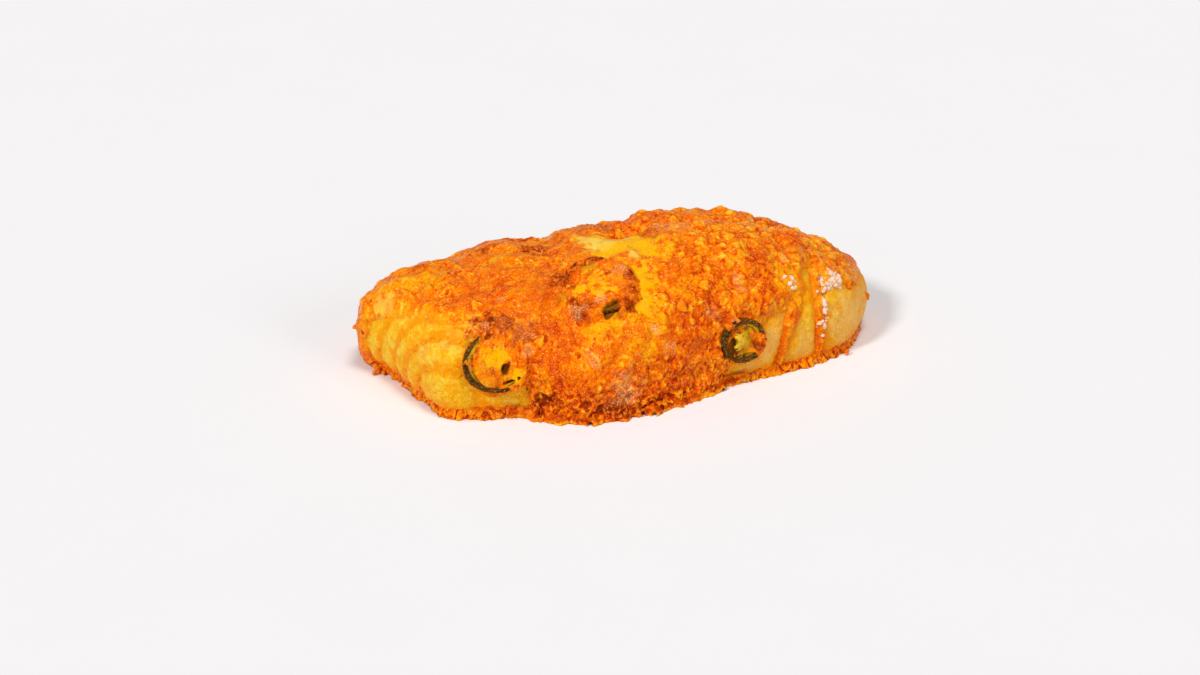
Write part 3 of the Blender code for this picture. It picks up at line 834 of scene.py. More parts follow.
def cheeseFinish():
    finish = Finish("meltedCheese")
    mottle = finish.swing(3.2, 3, 0.6)
    fine = finish.swing(0.9, 3, 0.65)
    tone = finish.plus(finish.plus(finish.value("tone"), 0.7, fine), 0.5, mottle)
    finish.base = finish.ramp(tone, cheese["tones"])
    edge = finish.plus(finish.value("edge"), 1.2, mottle)
    finish.paint(finish.range(edge, 0.1, 1.1, 0, 0.6), cheese["amber"])
    gold = finish.plus(finish.plus(finish.value("gold"), 0.9, mottle), 1.0, fine)
    finish.paint(finish.range(gold, 0.15, 0.95), cheese["yellow"])
    # small dark red spots: painted shade in fine crevices
    fineCreviceShade = finish.range(finish.noise(0.85, 2, 0.6, 0.4), 0.38, 0.28, 0, 0.42)
    finish.paint(fineCreviceShade, cheese["fineCreviceShade"])
    # painted glints: small pale highlights painted into the colour
    glint = finish.range(finish.noise(0.75, 2, 0.6, 0.4), 0.61, 0.69, 0, 0.62)
    finish.paint(glint, cheese["glint"])
    finish.paint(finish.value("paleness"), cheese["pale"])
    finish.paint(finish.times(finish.value("olive"), 0.8), cheese["olive"])
    crust = finish.ramp(finish.plus(tone, 1.6, fine), cheese["burnt"])
    brown = finish.plus(finish.value("brown"), 1.2, fine)
    finish.base = finish.mix(finish.range(brown, 0.1, 0.8, 0, 0.92), finish.base, crust)
    finish.paint(finish.range(brown, 1.0, 1.5), cheese["dark"])
    finish.paint(finish.value("hole"), cheese["hole"])
    # dusty and whitish over crisp cheese, partly painted highlights
    dryAndHighlight = finish.value("dryAndHighlight")
    finish.paint(finish.times(dryAndHighlight, 0.35), cheese["dusty"])
    specks = finish.range(finish.noise(0.8, 4, 0.7), 0.5, 0.66)
    finish.paint(finish.times(dryAndHighlight, specks), cheese["dryAndHighlight"])
    dull = finish.math("ADD", fine, finish.value("brown"))
    finish.setLook(cheese, finish.range(dull, -0.2, 0.8, 0.18, 0.6))
    finish.bump(cheese["bumps"])
    return finish.material


def makeSurface():
    directions, faces = ballDirections(loaf["level"])
    points = loafForm(directions)
    evenPoints, evenFaces = evenQuads(points, faces, loaf["voxel"])
    edges = faceEdges(evenFaces)
    normals = spread(pointNormals(evenPoints, evenFaces), edges, 4)
    normals /= lengths(normals)[:, None]
    kept = (evenPoints[evenFaces][:, :, 2] > -loaf["below"]).any(axis=1)
    faces, points, normals = keepFaces(evenFaces, kept, evenPoints, normals)
    print("surface", len(points), "points")
    return points, normals, faces


def makeShift(points, normals):
    skin = points + normals * (pleatHeight(points) + grooveHeight(points))[:, None]
    skin = skin[skin[:, 2] > 0]
    low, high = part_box("bread")
    middle = np.array((low + high) / 2) / mm
    shift = middle - (skin.min(axis=0) + skin.max(axis=0)) / 2
    shift[2] = 0
    return shift


def makeBread(points, normals, faces, shift, cover, finish):
    d = dough
    x, _, z = points.T
    grains = bubblePattern(warped(points, 2.5, 0.7, 36), d["grainSize"], 37)
    soft = layeredGrain(points, d["softSize"], 31)
    fine = grain(points, d["fineSize"], 35)
    height = pleatRelief(points) + grooveHeight(points)
    height = height + d["grainRise"] * grains + d["softRise"] * soft + d["fineRise"] * fine
    made = points + normals * height[:, None]
    # stained near the cheese, thinly filmed beside it at the left and patchy at the right end
    toRight = smooth(x, 20, 50)
    nearCheese = (0.5 + 0.25 * toRight) * smooth(cover + 1.2 * soft, -2.4 - 2.6 * toRight, 0.3)
    film = 0.52 * smooth(cover + 5 * layeredGrain(points, 4.5, 32), -5, 1.5) * smooth(-x, 55, 66)
    patches = 0.7 * smooth(layeredGrain(points, 5, 26), 0.05, 0.6) * smooth(x, 82, 90)
    stain = np.maximum(nearCheese, film) + patches + creaseStain(points) + 0.3 * smooth(soft, 0.2, 0.9)
    foot = 1 - smooth(z, 3, 18)
    values = {
        "stain": np.clip(stain, 0, 1.2),
        # lighter on the raised grains: partly the dough's own tone, partly painted highlight on their tops
        "tone": 0.22 + 0.6 * grains + 0.2 * soft + 0.2 * fine,
        # browner towards the right end from baking, and more orange low down by the foot: painted light
        # bounced up from the floor
        "bakeAndBounceLight": 0.28 * smooth(x, 40, 76) + 0.4 * smooth(x, 88, 112) + 0.35 * foot,
        "cream": np.clip(spotted(points, creamSpots, soft), 0, 1),
        "under": 1 - smooth(z, 0.2, d["under"]),
    }
    kept = (made[faces][:, :, 2] > 0).any(axis=1)
    faces, made, *rest = keepFaces(faces, kept, made, *values.values())
    made[:, 2] = np.maximum(made[:, 2], 0)
    mesh = arrayMesh("dough", (made + shift) * mm, faces)
    storeValues(mesh, dict(zip(values, rest)))
    bm = bmesh.new()
    bm.from_mesh(mesh)
    rim = [edge for edge in bm.edges if edge.is_boundary]
    bmesh.ops.holes_fill(bm, edges=rim, sides=0)
    bmesh.ops.recalc_face_normals(bm, faces=bm.faces)
    bm.to_mesh(mesh)
    bm.free()
    addPiece("dough_loaf", mesh, "dough", finish, "bread")


# relief of the cheese that goes on top of its general height, with a tint for its colour: each lump's own,
# and painted shade in its crevices and pits
def cheeseRelief(points, normals, edges, cover, calm, burnt):
    c = cheese
    x, y, z = points.T
    # blistered at the upper right, crisp low on the front and rough wherever it is crisp or at the foot
    blistered = smooth(x, -8, 24) * smooth(z, 22, 36)
    crisp = smooth(-z, -27, -12) * smooth(-y, 20, 34) * smooth(x, -62, -46) * (1 - smooth(x, 38, 50))
    foot = smooth(-z, -9, -4)
    rough = np.maximum(crisp, 0.8 * foot)
    free = (z > 0) * (cover > 0.5) * (1.02 - calm)
    kinds = {  # where they lie, how often they are smoothed, and how much they tint
        "lumps": (free * (0.06 + blistered + 0.25 * rough), 2, 0.8),
        "shreds": (free * (1.05 - 0.8 * blistered), 1, 0.7),
        "pits": (free * (0.15 + rough), 1, 0.6),
    }
    rng = np.random.default_rng(7)
    tree = pointTree(points)
    height = np.zeros(len(points))
    tint = np.zeros(len(points))
    for kind, (where, rounds, share) in kinds.items():
        lumps = Lumps(points, normals, tree, rng)
        lumps.scatter(where, *c[kind])
        if kind == "lumps":
            for *place, radius, rise in bigBlisters:
                lumps.add(tree.find(place)[1], 0.8, radius, rise, rng.uniform(0.2, 0.7))
        height += spread(lumps.height, edges, rounds)
        tint += share * spread(lumps.tint, edges, 1)
    loose = warped(points, 2.5, 0.9, 60)
    _, gap, owner = cellPattern(warped(points, 4, 1.6, 64), c["creviceSize"], 65)
    crevice = (1 - smooth(gap, 0.02, 0.2)) * smooth(owner, 0.3, 0.6)
    for kind, seed, rounds in (("bubbles", 61, 1), ("fineBubbles", 62, 0)):
        size, rise, atBlisters, atRough = c[kind]
        bubbles = spread(bubblePattern(loose, size, seed), edges, rounds)
        height += (rise + atBlisters * blistered + atRough * rough) * bubbles
    height -= (c["crevice"] + c["footCrevice"] * foot) * crevice
    height += burnt * (0.5 * bubblePattern(loose, 1.9, 66) + 0.3 * layeredGrain(points, 1.6, 67))
    height += 0.3 * layeredGrain(points, 4.5, 41) + 0.6 * rough * layeredGrain(points, 3.0, 52)
    for size, depth in c["frill"]:
        height += depth * smooth(-z, -7, -1) * (0.4 + 0.6 * crisp) * grain(points, size, 55)
    height *= 1 - 0.85 * calm
    pit = spotted(warped(points, 2.5, 0.7, 68), hollows)
    height -= pit
    # crevices and pits are tinted darker: painted shade
    tint -= (0.25 + 0.6 * foot) * crevice + 0.35 * np.minimum(pit, 1)
    return height, tint * (1 - 0.8 * calm), crisp, foot


# light and dark of the cheese: raised spots are painted lighter and hollows and crevices darker, as painted
# highlight and painted shade; thick spots are deeper in colour
def cheeseTone(points, edges, detail, tint, crisp, foot, deep, bare):
    relief = np.clip((detail - spread(detail, edges, 24)) * 1.3, -1, 1)
    # painted highlight on fine ridges and painted shade in fine crevices
    ridgeLightAndCreviceShade = np.clip((detail - spread(detail, edges, 4)) * 4.5, -1, 1)
    tone = 0.49 + 0.06 * layeredGrain(points, 17, 91) + 0.15 * layeredGrain(points, 5.5, 92)
    tone += 0.28 * relief + (0.24 + 0.3 * foot) * ridgeLightAndCreviceShade + 0.28 * tint - 0.07 * crisp
    tone -= 0.18 * deep
    tone -= 0.75 * foot * np.maximum(0, tone - 0.6)
    return tone + 0.2 * (1 - smooth(bare, 1, 9)) * smooth(-points[:, 0], 55, 66) * smooth(points[:, 2], 8, 14)


def makeCheese(points, normals, faces, shift, cover, bare, beds, finish):
    c = cheese
    sliceHeight, sliceShare, marks = cheeseAtSlices(points, beds)
    cover = np.where(sliceShare > 0.5, np.maximum(cover, 3 * (sliceShare - 0.5)), cover)
    kept = (cover[faces] > -c["margin"]).any(axis=1)
    faces, points, normals, cover, bare, sliceHeight, sliceShare, *rest = keepFaces(
        faces, kept, points, normals, cover, bare, sliceHeight, sliceShare, *marks.values())
    marks = dict(zip(marks, rest))
    edges = faceEdges(faces)
    loose = warped(warped(points, 11, 4.5, 101), 3, 1.2, 105)
    ragged = layeredGrain(points, 3, 108)
    pool = np.maximum(spotted(loose, goldSpots[:3]), 0.75 * spotted(loose, goldSpots[3:6]))
    away = 1 - marks["near"]
    burnt = np.maximum(spotted(loose, brownSpots, ragged) * away, marks["brown"])
    calm = np.maximum(pool, spotted(loose, calmSpots, ragged))
    inside = np.maximum(cover, 0)
    ramp = smooth(inside, 0, c["ramp"])
    height = 0.15 + 0.7 * (1 - np.exp(-inside / 1.3)) + (c["thick"] - c["thin"]) * ramp
    height += c["lump"] * ramp * solidWave(points, c["lumpSize"], 2)
    height -= c["stripFill"] * grooveHeight(points)
    detail, tint, crisp, foot = cheeseRelief(points, normals, edges, cover, calm, burnt)
    detail *= smooth(inside, 0.2, 2.5)
    height = height + ramp * skirtReach(points) + detail
    height += sliceShare * (sliceHeight + (0.9 - 0.4 * marks["inside"]) * detail - height)
    height = np.where(cover < 0, np.maximum(0.8 * cover, -c["dive"]), height * smooth(cover, -0.4, 0.6))
    under = pleatRelief(points) + grooveHeight(points)
    outer = points + normals * (under + height)[:, None]
    inner = points + normals * (under - np.where(cover < 0, 1.2, 0.15))[:, None]
    thinEdge = 0.6 + 0.4 * smooth(points[:, 0], 20, 50)
    deep = spotted(loose, deepSpots, ragged)
    values = {
        "tone": cheeseTone(points, edges, detail, tint, crisp, foot, deep, bare),
        "gold": np.maximum(spotted(loose, goldSpots, ragged) * away, marks["gold"]),
        "edge": (1 - smooth(np.abs(bare), 0.5, 6)) * smooth(points[:, 2], 4, 12) * away * thinEdge,
        "paleness": spotted(loose, paleSpots, ragged),
        "olive": marks["olive"],
        "brown": burnt,
        "dryAndHighlight": np.maximum(spotted(loose, dryAndHighlightSpots, ragged), marks["dryAndHighlight"]),
        "hole": marks["hole"],
    }
    kept = (outer[faces][:, :, 2] > c["hem"]).any(axis=1)
    faces, outer, inner, *rest = keepFaces(faces, kept, outer, inner, *values.values())
    for shell in (outer, inner):
        shell[:, 2] = np.maximum(shell[:, 2], c["hem"])
    mesh = shellMesh("cheese", (outer + shift) * mm, (inner + shift) * mm, faces)
    storeValues(mesh, {key: np.tile(numbers, 2) for key, numbers in zip(values, rest)})
    addPiece("cheese_topping", mesh, "cheese", finish, "melted_cheese")
    return outer


# closed shell from an outer and an inner side with the same faces
def shellMesh(name, outer, inner, faces):
    count = len(outer)
    pairs = faceEdges(faces)
    keys = pairs[:, 0] * count + pairs[:, 1]
    backKeys = pairs[:, 1] * count + pairs[:, 0]
    border = pairs[~np.isin(keys, backKeys)]
    wall = np.column_stack([border[:, 1], border[:, 0], border[:, 0] + count, border[:, 1] + count])
    return arrayMesh(name, np.vstack([outer, inner]), np.vstack([faces, faces[:, ::-1] + count, wall]))


# many small lumps as one mesh: their places, sizes (one radius each) and how flat they are
def lumpCloud(places, radii, flatness, rough, seed):
    ball, ballFaces = ballDirections(2)
    rng = np.random.default_rng(seed)
    allPoints = []
    for place, radius in zip(places, radii):
        turn = np.linalg.qr(rng.normal(size=(3, 3)))[0]
        form = ball * (1 + rough * layeredGrain(ball + rng.uniform(0, 90, 3), 0.9, seed))[:, None]
        form = form * np.array((1, rng.uniform(0.6, 1), flatness))
        allPoints.append(place + radius * form @ turn)
    starts = np.arange(len(allPoints)) * len(ball)
    return np.vstack(allPoints), (ballFaces[None] + starts[:, None, None]).reshape(-1, 3)


# flour left in the creases at the right: x, y, z, reach of the patch and number of lumps
flourPatches = (
    (90.4, -17.5, 31.8, 4.2, 84), (93, -18, 30, 3.0, 26), (86.7, -23.5, 29.4, 3.8, 62),
    (84.5, -27, 26, 2.4, 22), (86, -28.6, 22, 2.8, 30), (84.3, -29.6, 18, 3.0, 20),
    (82.5, -30.2, 15, 2.4, 8), (68, -27.7, 37, 2.2, 28),
)
flour = {
    "white": (255, 222, 196), "soaked": (248, 182, 108), "roughness": 0.9, "gloss": 0.1,
    "radius": (0.25, 1.7), "flatness": 0.6, "rough": 0.35, "bumps": ((0.35, 3, 0.55, 0.12, 0.6),),
}


def makeFlour(outer, shift):
    rng = np.random.default_rng(21)
    tree = pointTree(outer)
    places = []
    for *place, reach, count in flourPatches:
        for _ in range(count):
            spot = np.array(place) + rng.normal(size=3) * reach * 0.5
            places.append(np.array(tree.find(spot)[0]))
    low, high = flour["radius"]
    radii = low + (high - low) * rng.random(len(places)) ** 2.4
    points, faces = lumpCloud(places, radii, flour["flatness"], flour["rough"], seed=22)
    mesh = arrayMesh("flour", (points + shift) * mm, faces)
    finish = Finish("dryFlour")
    tone = finish.range(finish.noise(1.6, 4, 0.65), 0.48, 0.66, 0, 0.85)
    base = finish.mix(tone, colour(*flour["white"]), colour(*flour["soaked"]))
    finish.set(Base_Color=base, Roughness=flour["roughness"], Specular_IOR_Level=flour["gloss"])
    finish.bump(flour["bumps"])
    addPiece("flour_clumps", mesh, "dough", finish.material)


# thin crisp frill along the foot at the front: it waves in and out, and is torn in places
frill = {
    "from": -57, "to": 47, "step": 0.3, "rows": 13, "height": 4.2, "reach": 1.7, "thickness": 0.45,
    "waves": ((7, 1.2), (3.0, 1.3), (1.4, 0.8)), "ruffle": 0.8, "ruffleSize": 2.2, "calm": 0.35,
    "arch": 2.4, "archSize": 4.5, "tuck": 0.9, "hem": 0.15, "gap": 0.14, "ends": 8,
    "footTop": 1.2, "evened": 6,  # what counts as the foot, and how many steps each way it is evened over
    "holeSize": 3.4, "holeReach": 0.33, "holes": 0.75,
}
# small loose lumps of cheese at the two ends and by the foot: x, y, z and radius
nubs = (
    (112, -3, 15, 2.0), (110.6, -5, 17, 1.4), (100, -15, 27, 1.8), (103, -11, 26, 1.3), (-101, 3, 28, 1.3),
    (-109, 14, 18, 1.7), (-108.5, 12, 21, 1.2), (-102, 4, 1.6, 1.6), (-104, 3, 1.4, 1.1), (-100, 2, 1.4, 1.3),
    (40, -42, 1.2, 1.2), (43, -42.5, 1.0, 1.0), (96, -27, 1.6, 1.3),
)


# where the foot of the cheese stands at the front, for each x
def footLine(outer, xs):
    foot = outer[(outer[:, 2] < frill["footTop"]) & (outer[:, 1] < 0)]
    column = np.clip(np.round((foot[:, 0] - xs[0]) / frill["step"]).astype(int), 0, len(xs) - 1)
    ys = np.zeros(len(xs))
    np.minimum.at(ys, column, foot[:, 1])
    half = frill["evened"]
    weights = np.ones(2 * half + 1) / (2 * half + 1)
    return np.convolve(np.pad(ys, half, mode="edge"), weights, mode="valid")


def makeFrill(outer, shift, finish):
    f = frill
    xs = np.arange(f["from"], f["to"], f["step"])
    ys = footLine(outer, xs)
    slope = np.gradient(ys, xs)
    away = np.column_stack([slope, -np.ones(len(xs))]) / np.sqrt(1 + slope**2)[:, None]
    ends = smooth(xs, f["from"], f["from"] + f["ends"]) * (1 - smooth(xs, f["to"] - f["ends"], f["to"]))
    line = np.column_stack([xs, np.zeros(len(xs)), np.zeros(len(xs))])
    lively = f["calm"] + (1 - f["calm"]) * smooth(xs, -50, -34)
    wave = lively * sum(depth * grain(line, size, 55) for size, depth in f["waves"])
    arch = f["arch"] * smooth(grain(line, f["archSize"], 57), 0.35, 0.8) * smooth(xs, -10, 5)
    top = f["height"] * (1 + 0.35 * grain(line, 6, 58))
    rows = np.linspace(0, 1, f["rows"])[:, None]
    ruffle = lively * f["ruffle"] * grain(line, f["ruffleSize"], 56) * np.sin(pi * rows)
    height = top * (1 - rows) + (f["hem"] + arch) * rows + ruffle
    reach = -f["tuck"] + (f["reach"] + f["tuck"] + wave) * rows**0.7 * ends
    points = np.stack([xs + reach * away[:, 0], ys + reach * away[:, 1], height], axis=-1).reshape(-1, 3)
    points = warped(points, 1.4, 0.25, 70)
    points[:, 2] = np.maximum(points[:, 2], f["gap"])
    index = np.arange(len(points)).reshape(f["rows"], len(xs))
    faces = np.stack([index[:-1, :-1], index[1:, :-1], index[1:, 1:], index[:-1, 1:]], axis=-1)
    faces = faces.reshape(-1, 4)
    near, _, owner = cellPattern(points, f["holeSize"], 59)
    whole = ~((near < f["holeReach"]) & (owner > f["holes"]))[faces].any(axis=1)
    faces, points, row = keepFaces(faces, whole, points, np.repeat(rows[:, 0], len(xs)))
    back = points - pointNormals(points, faces) * f["thickness"]
    back[:, 2] = np.maximum(back[:, 2], cheese["hem"])
    mesh = shellMesh("frill", (points + shift) * mm, (back + shift) * mm, faces)
    tone = 0.36 + 0.5 * layeredGrain(points, 3, 60) + 0.3 * smooth(row, 0.6, 1.0)
    brown = 0.5 * smooth(row, 0.1, 0.5) * (row < 0.7)
    storeValues(mesh, {"tone": np.tile(tone, 2), "brown": np.tile(brown, 2)})
    addPiece("crisp_frill", mesh, "cheese", finish)


def makeNubs(shift, finish):
    *places, radii = np.array(nubs).T
    points, faces = lumpCloud(np.column_stack(places), radii, flatness=0.8, rough=0.5, seed=32)
    points[:, 2] = np.maximum(points[:, 2], cheese["hem"])
    mesh = arrayMesh("nubs", (points + shift) * mm, faces)
    storeValues(mesh, {"tone": 0.5 + 0.25 * layeredGrain(points, 1.5, 33)})
    addPiece("cheese_nubs", mesh, "cheese", finish)


# a few burnt bits of pepper: x, y, z and radius
pepperBits = (
    (1, -40, 42.5, 0.5), (-52, -47.5, 13, 0.8), (-49, -49, 12, 0.7), (-54, -48, 14.5, 0.6),
    (31, -42, 3, 0.6),
)


def makeBits(outer, shift, finish):
    tree = pointTree(outer)
    places = [np.array(tree.find(bit[:3])[0]) for bit in pepperBits]
    radii = [bit[3] for bit in pepperBits]
    points, faces = lumpCloud(places, radii, flatness=0.5, rough=0.4, seed=41)
    mesh = arrayMesh("bits", (points + shift) * mm, faces)
    storeValues(mesh, {"skin": np.ones(len(points)), "scorch": np.ones(len(points))})
    addPiece("pepper_bits", mesh, "jalapeno", finish)


pepper = {
    "lift": 0.8, "thickness": 3.2, "wall": 3.0, "rib": 2.2, "core": 0.26, "steps": 96, "voxel": 0.3,
    "span": 8,  # how far round its centre the slope of the loaf is taken
    "lip": 0.3, "sink": 0.4, "wrinkle": 0.22, "wrinkleSize": 0.8, "holeDepth": 1.6,
    "ribDrop": {"left": 1.4, "middle": 1.4, "right": 0.3},  # the ribs have shrunk below the wall
    "uneven": (0.035, 0.02),  # how far the outline is from a circle, in two waves and in three
    "deeper": {"middle": 0.5},  # set lower in the cheese
    # how far in from the outline it is dark, on the whole and more to one side, with that side in degrees
    "skinDepth": {"left": (2.1, 1.0, 60), "middle": (1.2, 0, 0), "right": (2.9, 0.8, 60)},
    "liningShare": {"left": 0.8, "middle": 0.5, "right": 0.3},
    # seed stalks: centre and radius of the bend, thickness, and the two ends in degrees
    "curls": {"right": (((3.6, 1.6), 2.3, 0.8, 110, 290), ((3.9, 1.8), 4.0, 0.4, 125, 285))},
    "curlHeight": 3.2, "curlRise": 0.7, "heartShare": {"left": 1, "middle": 1, "right": 0.1},
    # the lining is a pale line at the inner edge of the dark skin: the flesh's own colour and a painted
    # highlight along the rim
    "skin": (60, 34, 1), "skinLight": (146, 92, 8), "flesh": (214, 160, 12), "heart": (240, 192, 48),
    "scorch": (112, 58, 8), "liningAndHighlight": (206, 164, 22), "paintedGlint": (214, 176, 84),
    "roughness": 0.16, "gloss": 0.2, "tint": (1, 0.8, 0.4, 1),
    "bleed": 0.1, "bleedDepth": 0.0015, "bleedRadius": (1, 0.2, 0.1),
    "bumps": ((1.2, 3, 0.6, 0.5, 0.8), (0.4, 2, 0.6, 0.15, 0.6)),
}


# the spot on the loaf where a slice lies, with the slice's own axes
class Bed:
    def __init__(self, tree, name):
        self.tree = tree
        self.radius = slices[name][1]
        self.centre, normal = tree.find_nearest(Vector(slices[name][0]))[:2]
        side = normal.orthogonal().normalized() * pepper["span"]
        other = normal.cross(side)
        for k in range(3):
            offset = side * cos(k * tau / 3) + other * sin(k * tau / 3)
            normal = normal + tree.find_nearest(self.centre + offset)[1]
        self.normal = normal.normalized()
        self.side = self.normal.cross(Vector((0, 1, 0.3))).normalized()
        self.up = self.normal.cross(self.side)

    # point over the dough at u, v of the slice's plane, looked for from 25 mm above it
    def place(self, u, v, height):
        start = self.centre + self.side * u + self.up * v + self.normal * 25
        return self.tree.ray_cast(start, -self.normal)[0] + self.normal * height

    # how far points lie from the centre along the slice's own right and up
    def seen(self, points):
        offset = points - np.array(self.centre)
        return -offset @ np.array(self.side), -offset @ np.array(self.up)


def makeBeds():
    directions, faces = ballDirections(loaf["level"])
    points = loafForm(directions)
    normals = pointNormals(points, faces)
    points = points + normals * (pleatRelief(points) + grooveHeight(points))[:, None]
    tree = BVHTree.FromPolygons(points.tolist(), faces.tolist())
    return {name: Bed(tree, name) for name in slices}


def rimReach(radius, angle, turn):
    twice, thrice = pepper["uneven"]
    return radius * (1 + twice * np.cos(2 * angle + turn) + thrice * np.cos(3 * angle - turn))


def ringPoints(reach, angle):
    return np.column_stack([reach * np.cos(angle), reach * np.sin(angle)])


# outline of one seed chamber, between the wall and the heart and between two ribs
def chamber(radius, middle, halfAngle):
    outer = radius - pepper["wall"]
    inner = radius * pepper["core"] + 0.8
    rib = 0.5 * pepper["rib"]
    far = middle + np.linspace(-1, 1, 13) * (halfAngle - rib / outer)
    near = middle + np.linspace(1, -1, 7) * max(0.15, halfAngle - rib / inner)
    return np.vstack([ringPoints(outer, far), ringPoints(inner, near)])


def addTube(bm, path, radius, sides=8):
    rings = []
    for index, point in enumerate(path):
        ahead = path[min(index + 1, len(path) - 1)] - path[max(index - 1, 0)]
        side = Vector((-ahead.y, ahead.x, 0)).normalized()
        turn = [(cos(k * tau / sides), sin(k * tau / sides)) for k in range(sides)]
        rings.append([bm.verts.new(point + side * radius * c + Vector((0, 0, radius * s))) for c, s in turn])
    for low, high in zip(rings, rings[1:]):
        for k in range(sides):
            bm.faces.new((low[k - 1], low[k], high[k], high[k - 1]))
    bm.faces.new(rings[0])
    bm.faces.new(rings[-1][::-1])


def flatSlice(name):
    c = pepper
    _, radius, turn, chambers = slices[name]
    turn = radians(turn)
    angles = np.arange(c["steps"]) * tau / c["steps"]
    loops = [ringPoints(rimReach(radius, angles, turn), angles)]
    loops += [chamber(radius, turn + tau * k / chambers, pi / chambers) for k in range(chambers)]
    bm = bmesh.new()
    edges = []
    for loop in loops:
        verts = [bm.verts.new((x, y, c["lift"])) for x, y in loop]
        edges += [bm.edges.new((verts[i - 1], verts[i])) for i in range(len(verts))]
    bmesh.ops.triangle_fill(bm, edges=edges, use_beauty=True)
    made = bmesh.ops.extrude_face_region(bm, geom=bm.faces[:], use_keep_orig=True)
    for item in made["geom"]:
        if isinstance(item, bmesh.types.BMVert):
            item.co.z += c["thickness"]
    for (x, y), bend, thickness, start, end in c["curls"].get(name, ()):
        turns = np.radians(np.linspace(start, end, 16))
        heights = c["curlHeight"] + c["curlRise"] * np.sin(turns - turns[0])
        curl = [Vector((x + bend * cos(t), y + bend * sin(t), z)) for t, z in zip(turns, heights)]
        addTube(bm, curl, thickness)
    bmesh.ops.recalc_face_normals(bm, faces=bm.faces)
    bmesh.ops.triangulate(bm, faces=bm.faces)
    return evenQuads(*triangleArrays(bm), c["voxel"])


# 1 on the seed stalks
def curlMask(name, flat):
    total = np.zeros(len(flat))
    for (x, y), bend, thickness, start, end in pepper["curls"].get(name, ()):
        offset = flat[:, :2] - np.array((x, y))
        angle = np.arctan2(offset[:, 1], offset[:, 0])
        near = 1 - smooth(np.abs(lengths(offset) - bend), thickness, thickness + 0.4)
        total = np.maximum(total, near * sector(angle, start - 8, end + 8, 6))
    return total * smooth(flat[:, 2], pepper["curlHeight"] - 0.9, pepper["curlHeight"] - 0.2)


def makeSlice(name, bed, shift, finish):
    c = pepper
    points, faces = flatSlice(name)
    points = spread(points, faceEdges(faces), 3)
    flat = points.copy()
    level = flat[:, :2]
    reach = lengths(level)
    angle = np.arctan2(level[:, 1], level[:, 0])
    inward = rimReach(bed.radius, angle, radians(slices[name][2])) - reach
    top = smooth(flat[:, 2], c["lift"] + 1.5, c["lift"] + c["thickness"] - 0.3)
    lift = c["lip"] * bell(inward, 0.5, 0.7) - c["sink"] * bell(inward, 2.0, 0.9)
    lift -= c["ribDrop"][name] * smooth(inward, c["wall"] - 0.6, c["wall"] + 1.2)
    lift += 0.5 * layeredGrain(flat, 2.4, 71) * smooth(-inward, -c["wall"], -0.3)
    points[:, 2] += lift * top
    right, up = turned(-level[:, 0], -level[:, 1], sliceCheese[name]["turn"])
    holes = [holeShape(right, up, hole, -1.2) for hole in sliceCheese[name]["holes"]]
    curl = curlMask(name, flat)
    sunken = np.max(holes, axis=0) * smooth(inward, -0.5, 1.0) * (1 - curl)
    points[:, 2] -= c["holeDepth"] * sunken * top + c["deeper"].get(name, 0)
    along = np.column_stack([angle * bed.radius, flat[:, 2] * 0.3, reach * 0.5])
    outward = c["wrinkle"] * grain(along, c["wrinkleSize"], 73) + 0.25 * layeredGrain(flat, 4, 74)
    outward = outward * smooth(-inward, -2.2, -0.5)
    points[:, :2] += level / np.maximum(reach, 0.1)[:, None] * outward[:, None]
    placed = np.array([bed.place(*point) for point in points.tolist()])
    mesh = arrayMesh("slice", (placed + shift) * mm, faces)
    depth, more, thickSide = c["skinDepth"][name]
    depth = depth + more * np.cos(angle - radians(thickSide)) + 0.5 * layeredGrain(flat, 4, 78)
    liningAndHighlight = c["liningShare"][name] * np.clip(0.7 + layeredGrain(flat, 3, 77), 0, 1) * (1 - sunken)
    heart = 1 - smooth(reach, bed.radius * c["core"], bed.radius * c["core"] + 2.2)
    # scorched patches, and the sunken holes painted as dark as the scorch
    scorch = np.maximum(smooth(layeredGrain(flat, 4, 76), 0.0, 0.6), sunken)
    storeValues(mesh, {
        "skin": smooth(-inward + 0.35 * layeredGrain(flat, 1.6, 75), -depth - 0.3, -depth + 0.4),
        "heart": np.maximum(heart * c["heartShare"][name], curl),
        "scorch": scorch * (1 - 0.85 * curl),
        "liningAndHighlight": bell(inward, depth + 0.2, 0.4) * liningAndHighlight,
    })
    addPiece(f"slice_{name}", mesh, "jalapeno", finish, f"jalapeno_slice_{name}")


def sliceFinish():
    finish = Finish("bakedJalapeno")
    speckle = finish.range(finish.noise(0.8, 3, 0.6), 0.45, 0.72)
    skin = finish.mix(speckle, colour(*pepper["skin"]), colour(*pepper["skinLight"]))
    finish.base = colour(*pepper["flesh"])
    finish.paint(finish.value("heart"), pepper["heart"])
    finish.paint(finish.range(finish.noise(1.6, 3), 0.52, 0.72), pepper["skinLight"])
    finish.base = finish.mix(finish.value("skin"), finish.base, skin)
    finish.paint(finish.times(finish.value("scorch"), 0.85), pepper["scorch"])
    # pale line inside the skin: the flesh's own colour and a painted highlight along the rim
    finish.paint(finish.value("liningAndHighlight"), pepper["liningAndHighlight"])
    # painted glints on the skin
    paintedGlint = finish.range(finish.noise(0.7, 2, 0.6, 0.5), 0.6, 0.7, 0, 0.6)
    finish.paint(finish.times(finish.value("skin"), paintedGlint), pepper["paintedGlint"])
    finish.setLook(pepper, pepper["roughness"])
    finish.bump(pepper["bumps"])
    return finish.material


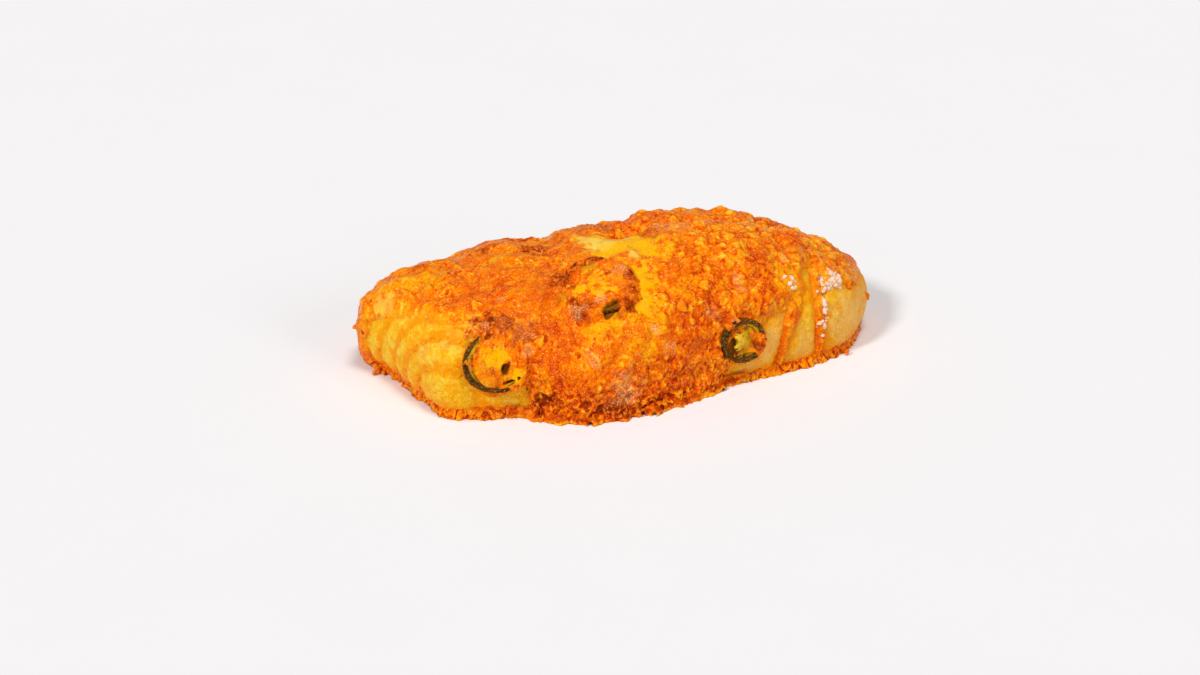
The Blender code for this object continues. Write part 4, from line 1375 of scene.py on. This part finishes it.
studio = {  # lamps: direction they shine from, how wide they look in degrees, strength
    "floor": (247, 245, 246), "floorHalf": 4,  # half its side, in metres
    "mottleSize": 60, "mottle": 0.985, "roughness": 0.8, "world": 0.24,
    "key": ((-1.9, -1.1, 2.0), 11, 1.62), "top": ((0.3, -0.4, 2.7), 20, 1.16),
    "fill": ((1.8, -2.4, 1.5), 22, 0.46),
}
view = {
    "place": (-304.1, -1194.1, 600), "azimuth": -14, "elevation": 25.7, "lens": 95.7, "sensor": 36,
    "clip": (0.05, 20),  # metres
}


def makeStudio():
    world = bpy.data.worlds.new("studio")
    scene.world = world
    world.use_nodes = True
    background = world.node_tree.nodes["Background"]
    background.inputs["Color"].default_value = (1, 1, 1, 1)
    background.inputs["Strength"].default_value = studio["world"]
    for name in ("key", "top", "fill"):
        place, wide, strength = studio[name]
        light = bpy.data.lights.new(name, "SUN")
        light.angle = radians(wide)
        light.energy = strength
        lamp = bpy.data.objects.new(name, light)
        scene.collection.objects.link(lamp)
        lamp.location = place
        lamp.rotation_euler = (-Vector(place)).to_track_quat("-Z", "Y").to_euler()
    mesh = bpy.data.meshes.new("floor")
    half = studio["floorHalf"]
    corners = [(-half, -half, 0), (half, -half, 0), (half, half, 0), (-half, half, 0)]
    mesh.from_pydata(corners, [], [(0, 1, 2, 3)])
    finish = Finish("paleFloor")
    pale = colour(*studio["floor"])
    darker = tuple(c * studio["mottle"] for c in pale[:3]) + (1,)
    base = finish.mix(finish.noise(studio["mottleSize"], 3), pale, darker)
    finish.set(Base_Color=base, Roughness=studio["roughness"])
    mesh.materials.append(finish.material)
    floor = bpy.data.objects.new("floor", mesh)
    scene.collection.objects.link(floor)
    scene.view_settings.view_transform = "Standard"


def makeCamera(shift):
    camera = bpy.data.cameras.new("camera")
    camera.lens = view["lens"]
    camera.sensor_width = view["sensor"]
    camera.clip_start, camera.clip_end = view["clip"]
    obj = bpy.data.objects.new("camera", camera)
    scene.collection.objects.link(obj)
    obj.location = (np.array(view["place"]) + shift) * mm
    obj.rotation_euler = (radians(90 - view["elevation"]), 0, radians(view["azimuth"]))
    scene.camera = obj


def main():
    points, normals, faces = makeSurface()
    shift = makeShift(points, normals)
    print("shift", shift.round(3))
    makeStudio()
    makeCamera(shift)
    print("lamps, floor and camera placed")
    cover, bare = cheeseCover(points)
    beds = makeBeds()
    print("slices laid at", *beds)
    melted = cheeseFinish()
    makeBread(points, normals, faces, shift, cover, doughFinish())
    outer = makeCheese(points, normals, faces, shift, cover, bare, beds, melted)
    jalapeno = sliceFinish()
    for name, bed in beds.items():
        makeSlice(name, bed, shift, jalapeno)
    makeFrill(outer, shift, melted)
    makeNubs(shift, melted)
    makeFlour(outer, shift)
    makeBits(outer, shift, jalapeno)


main()
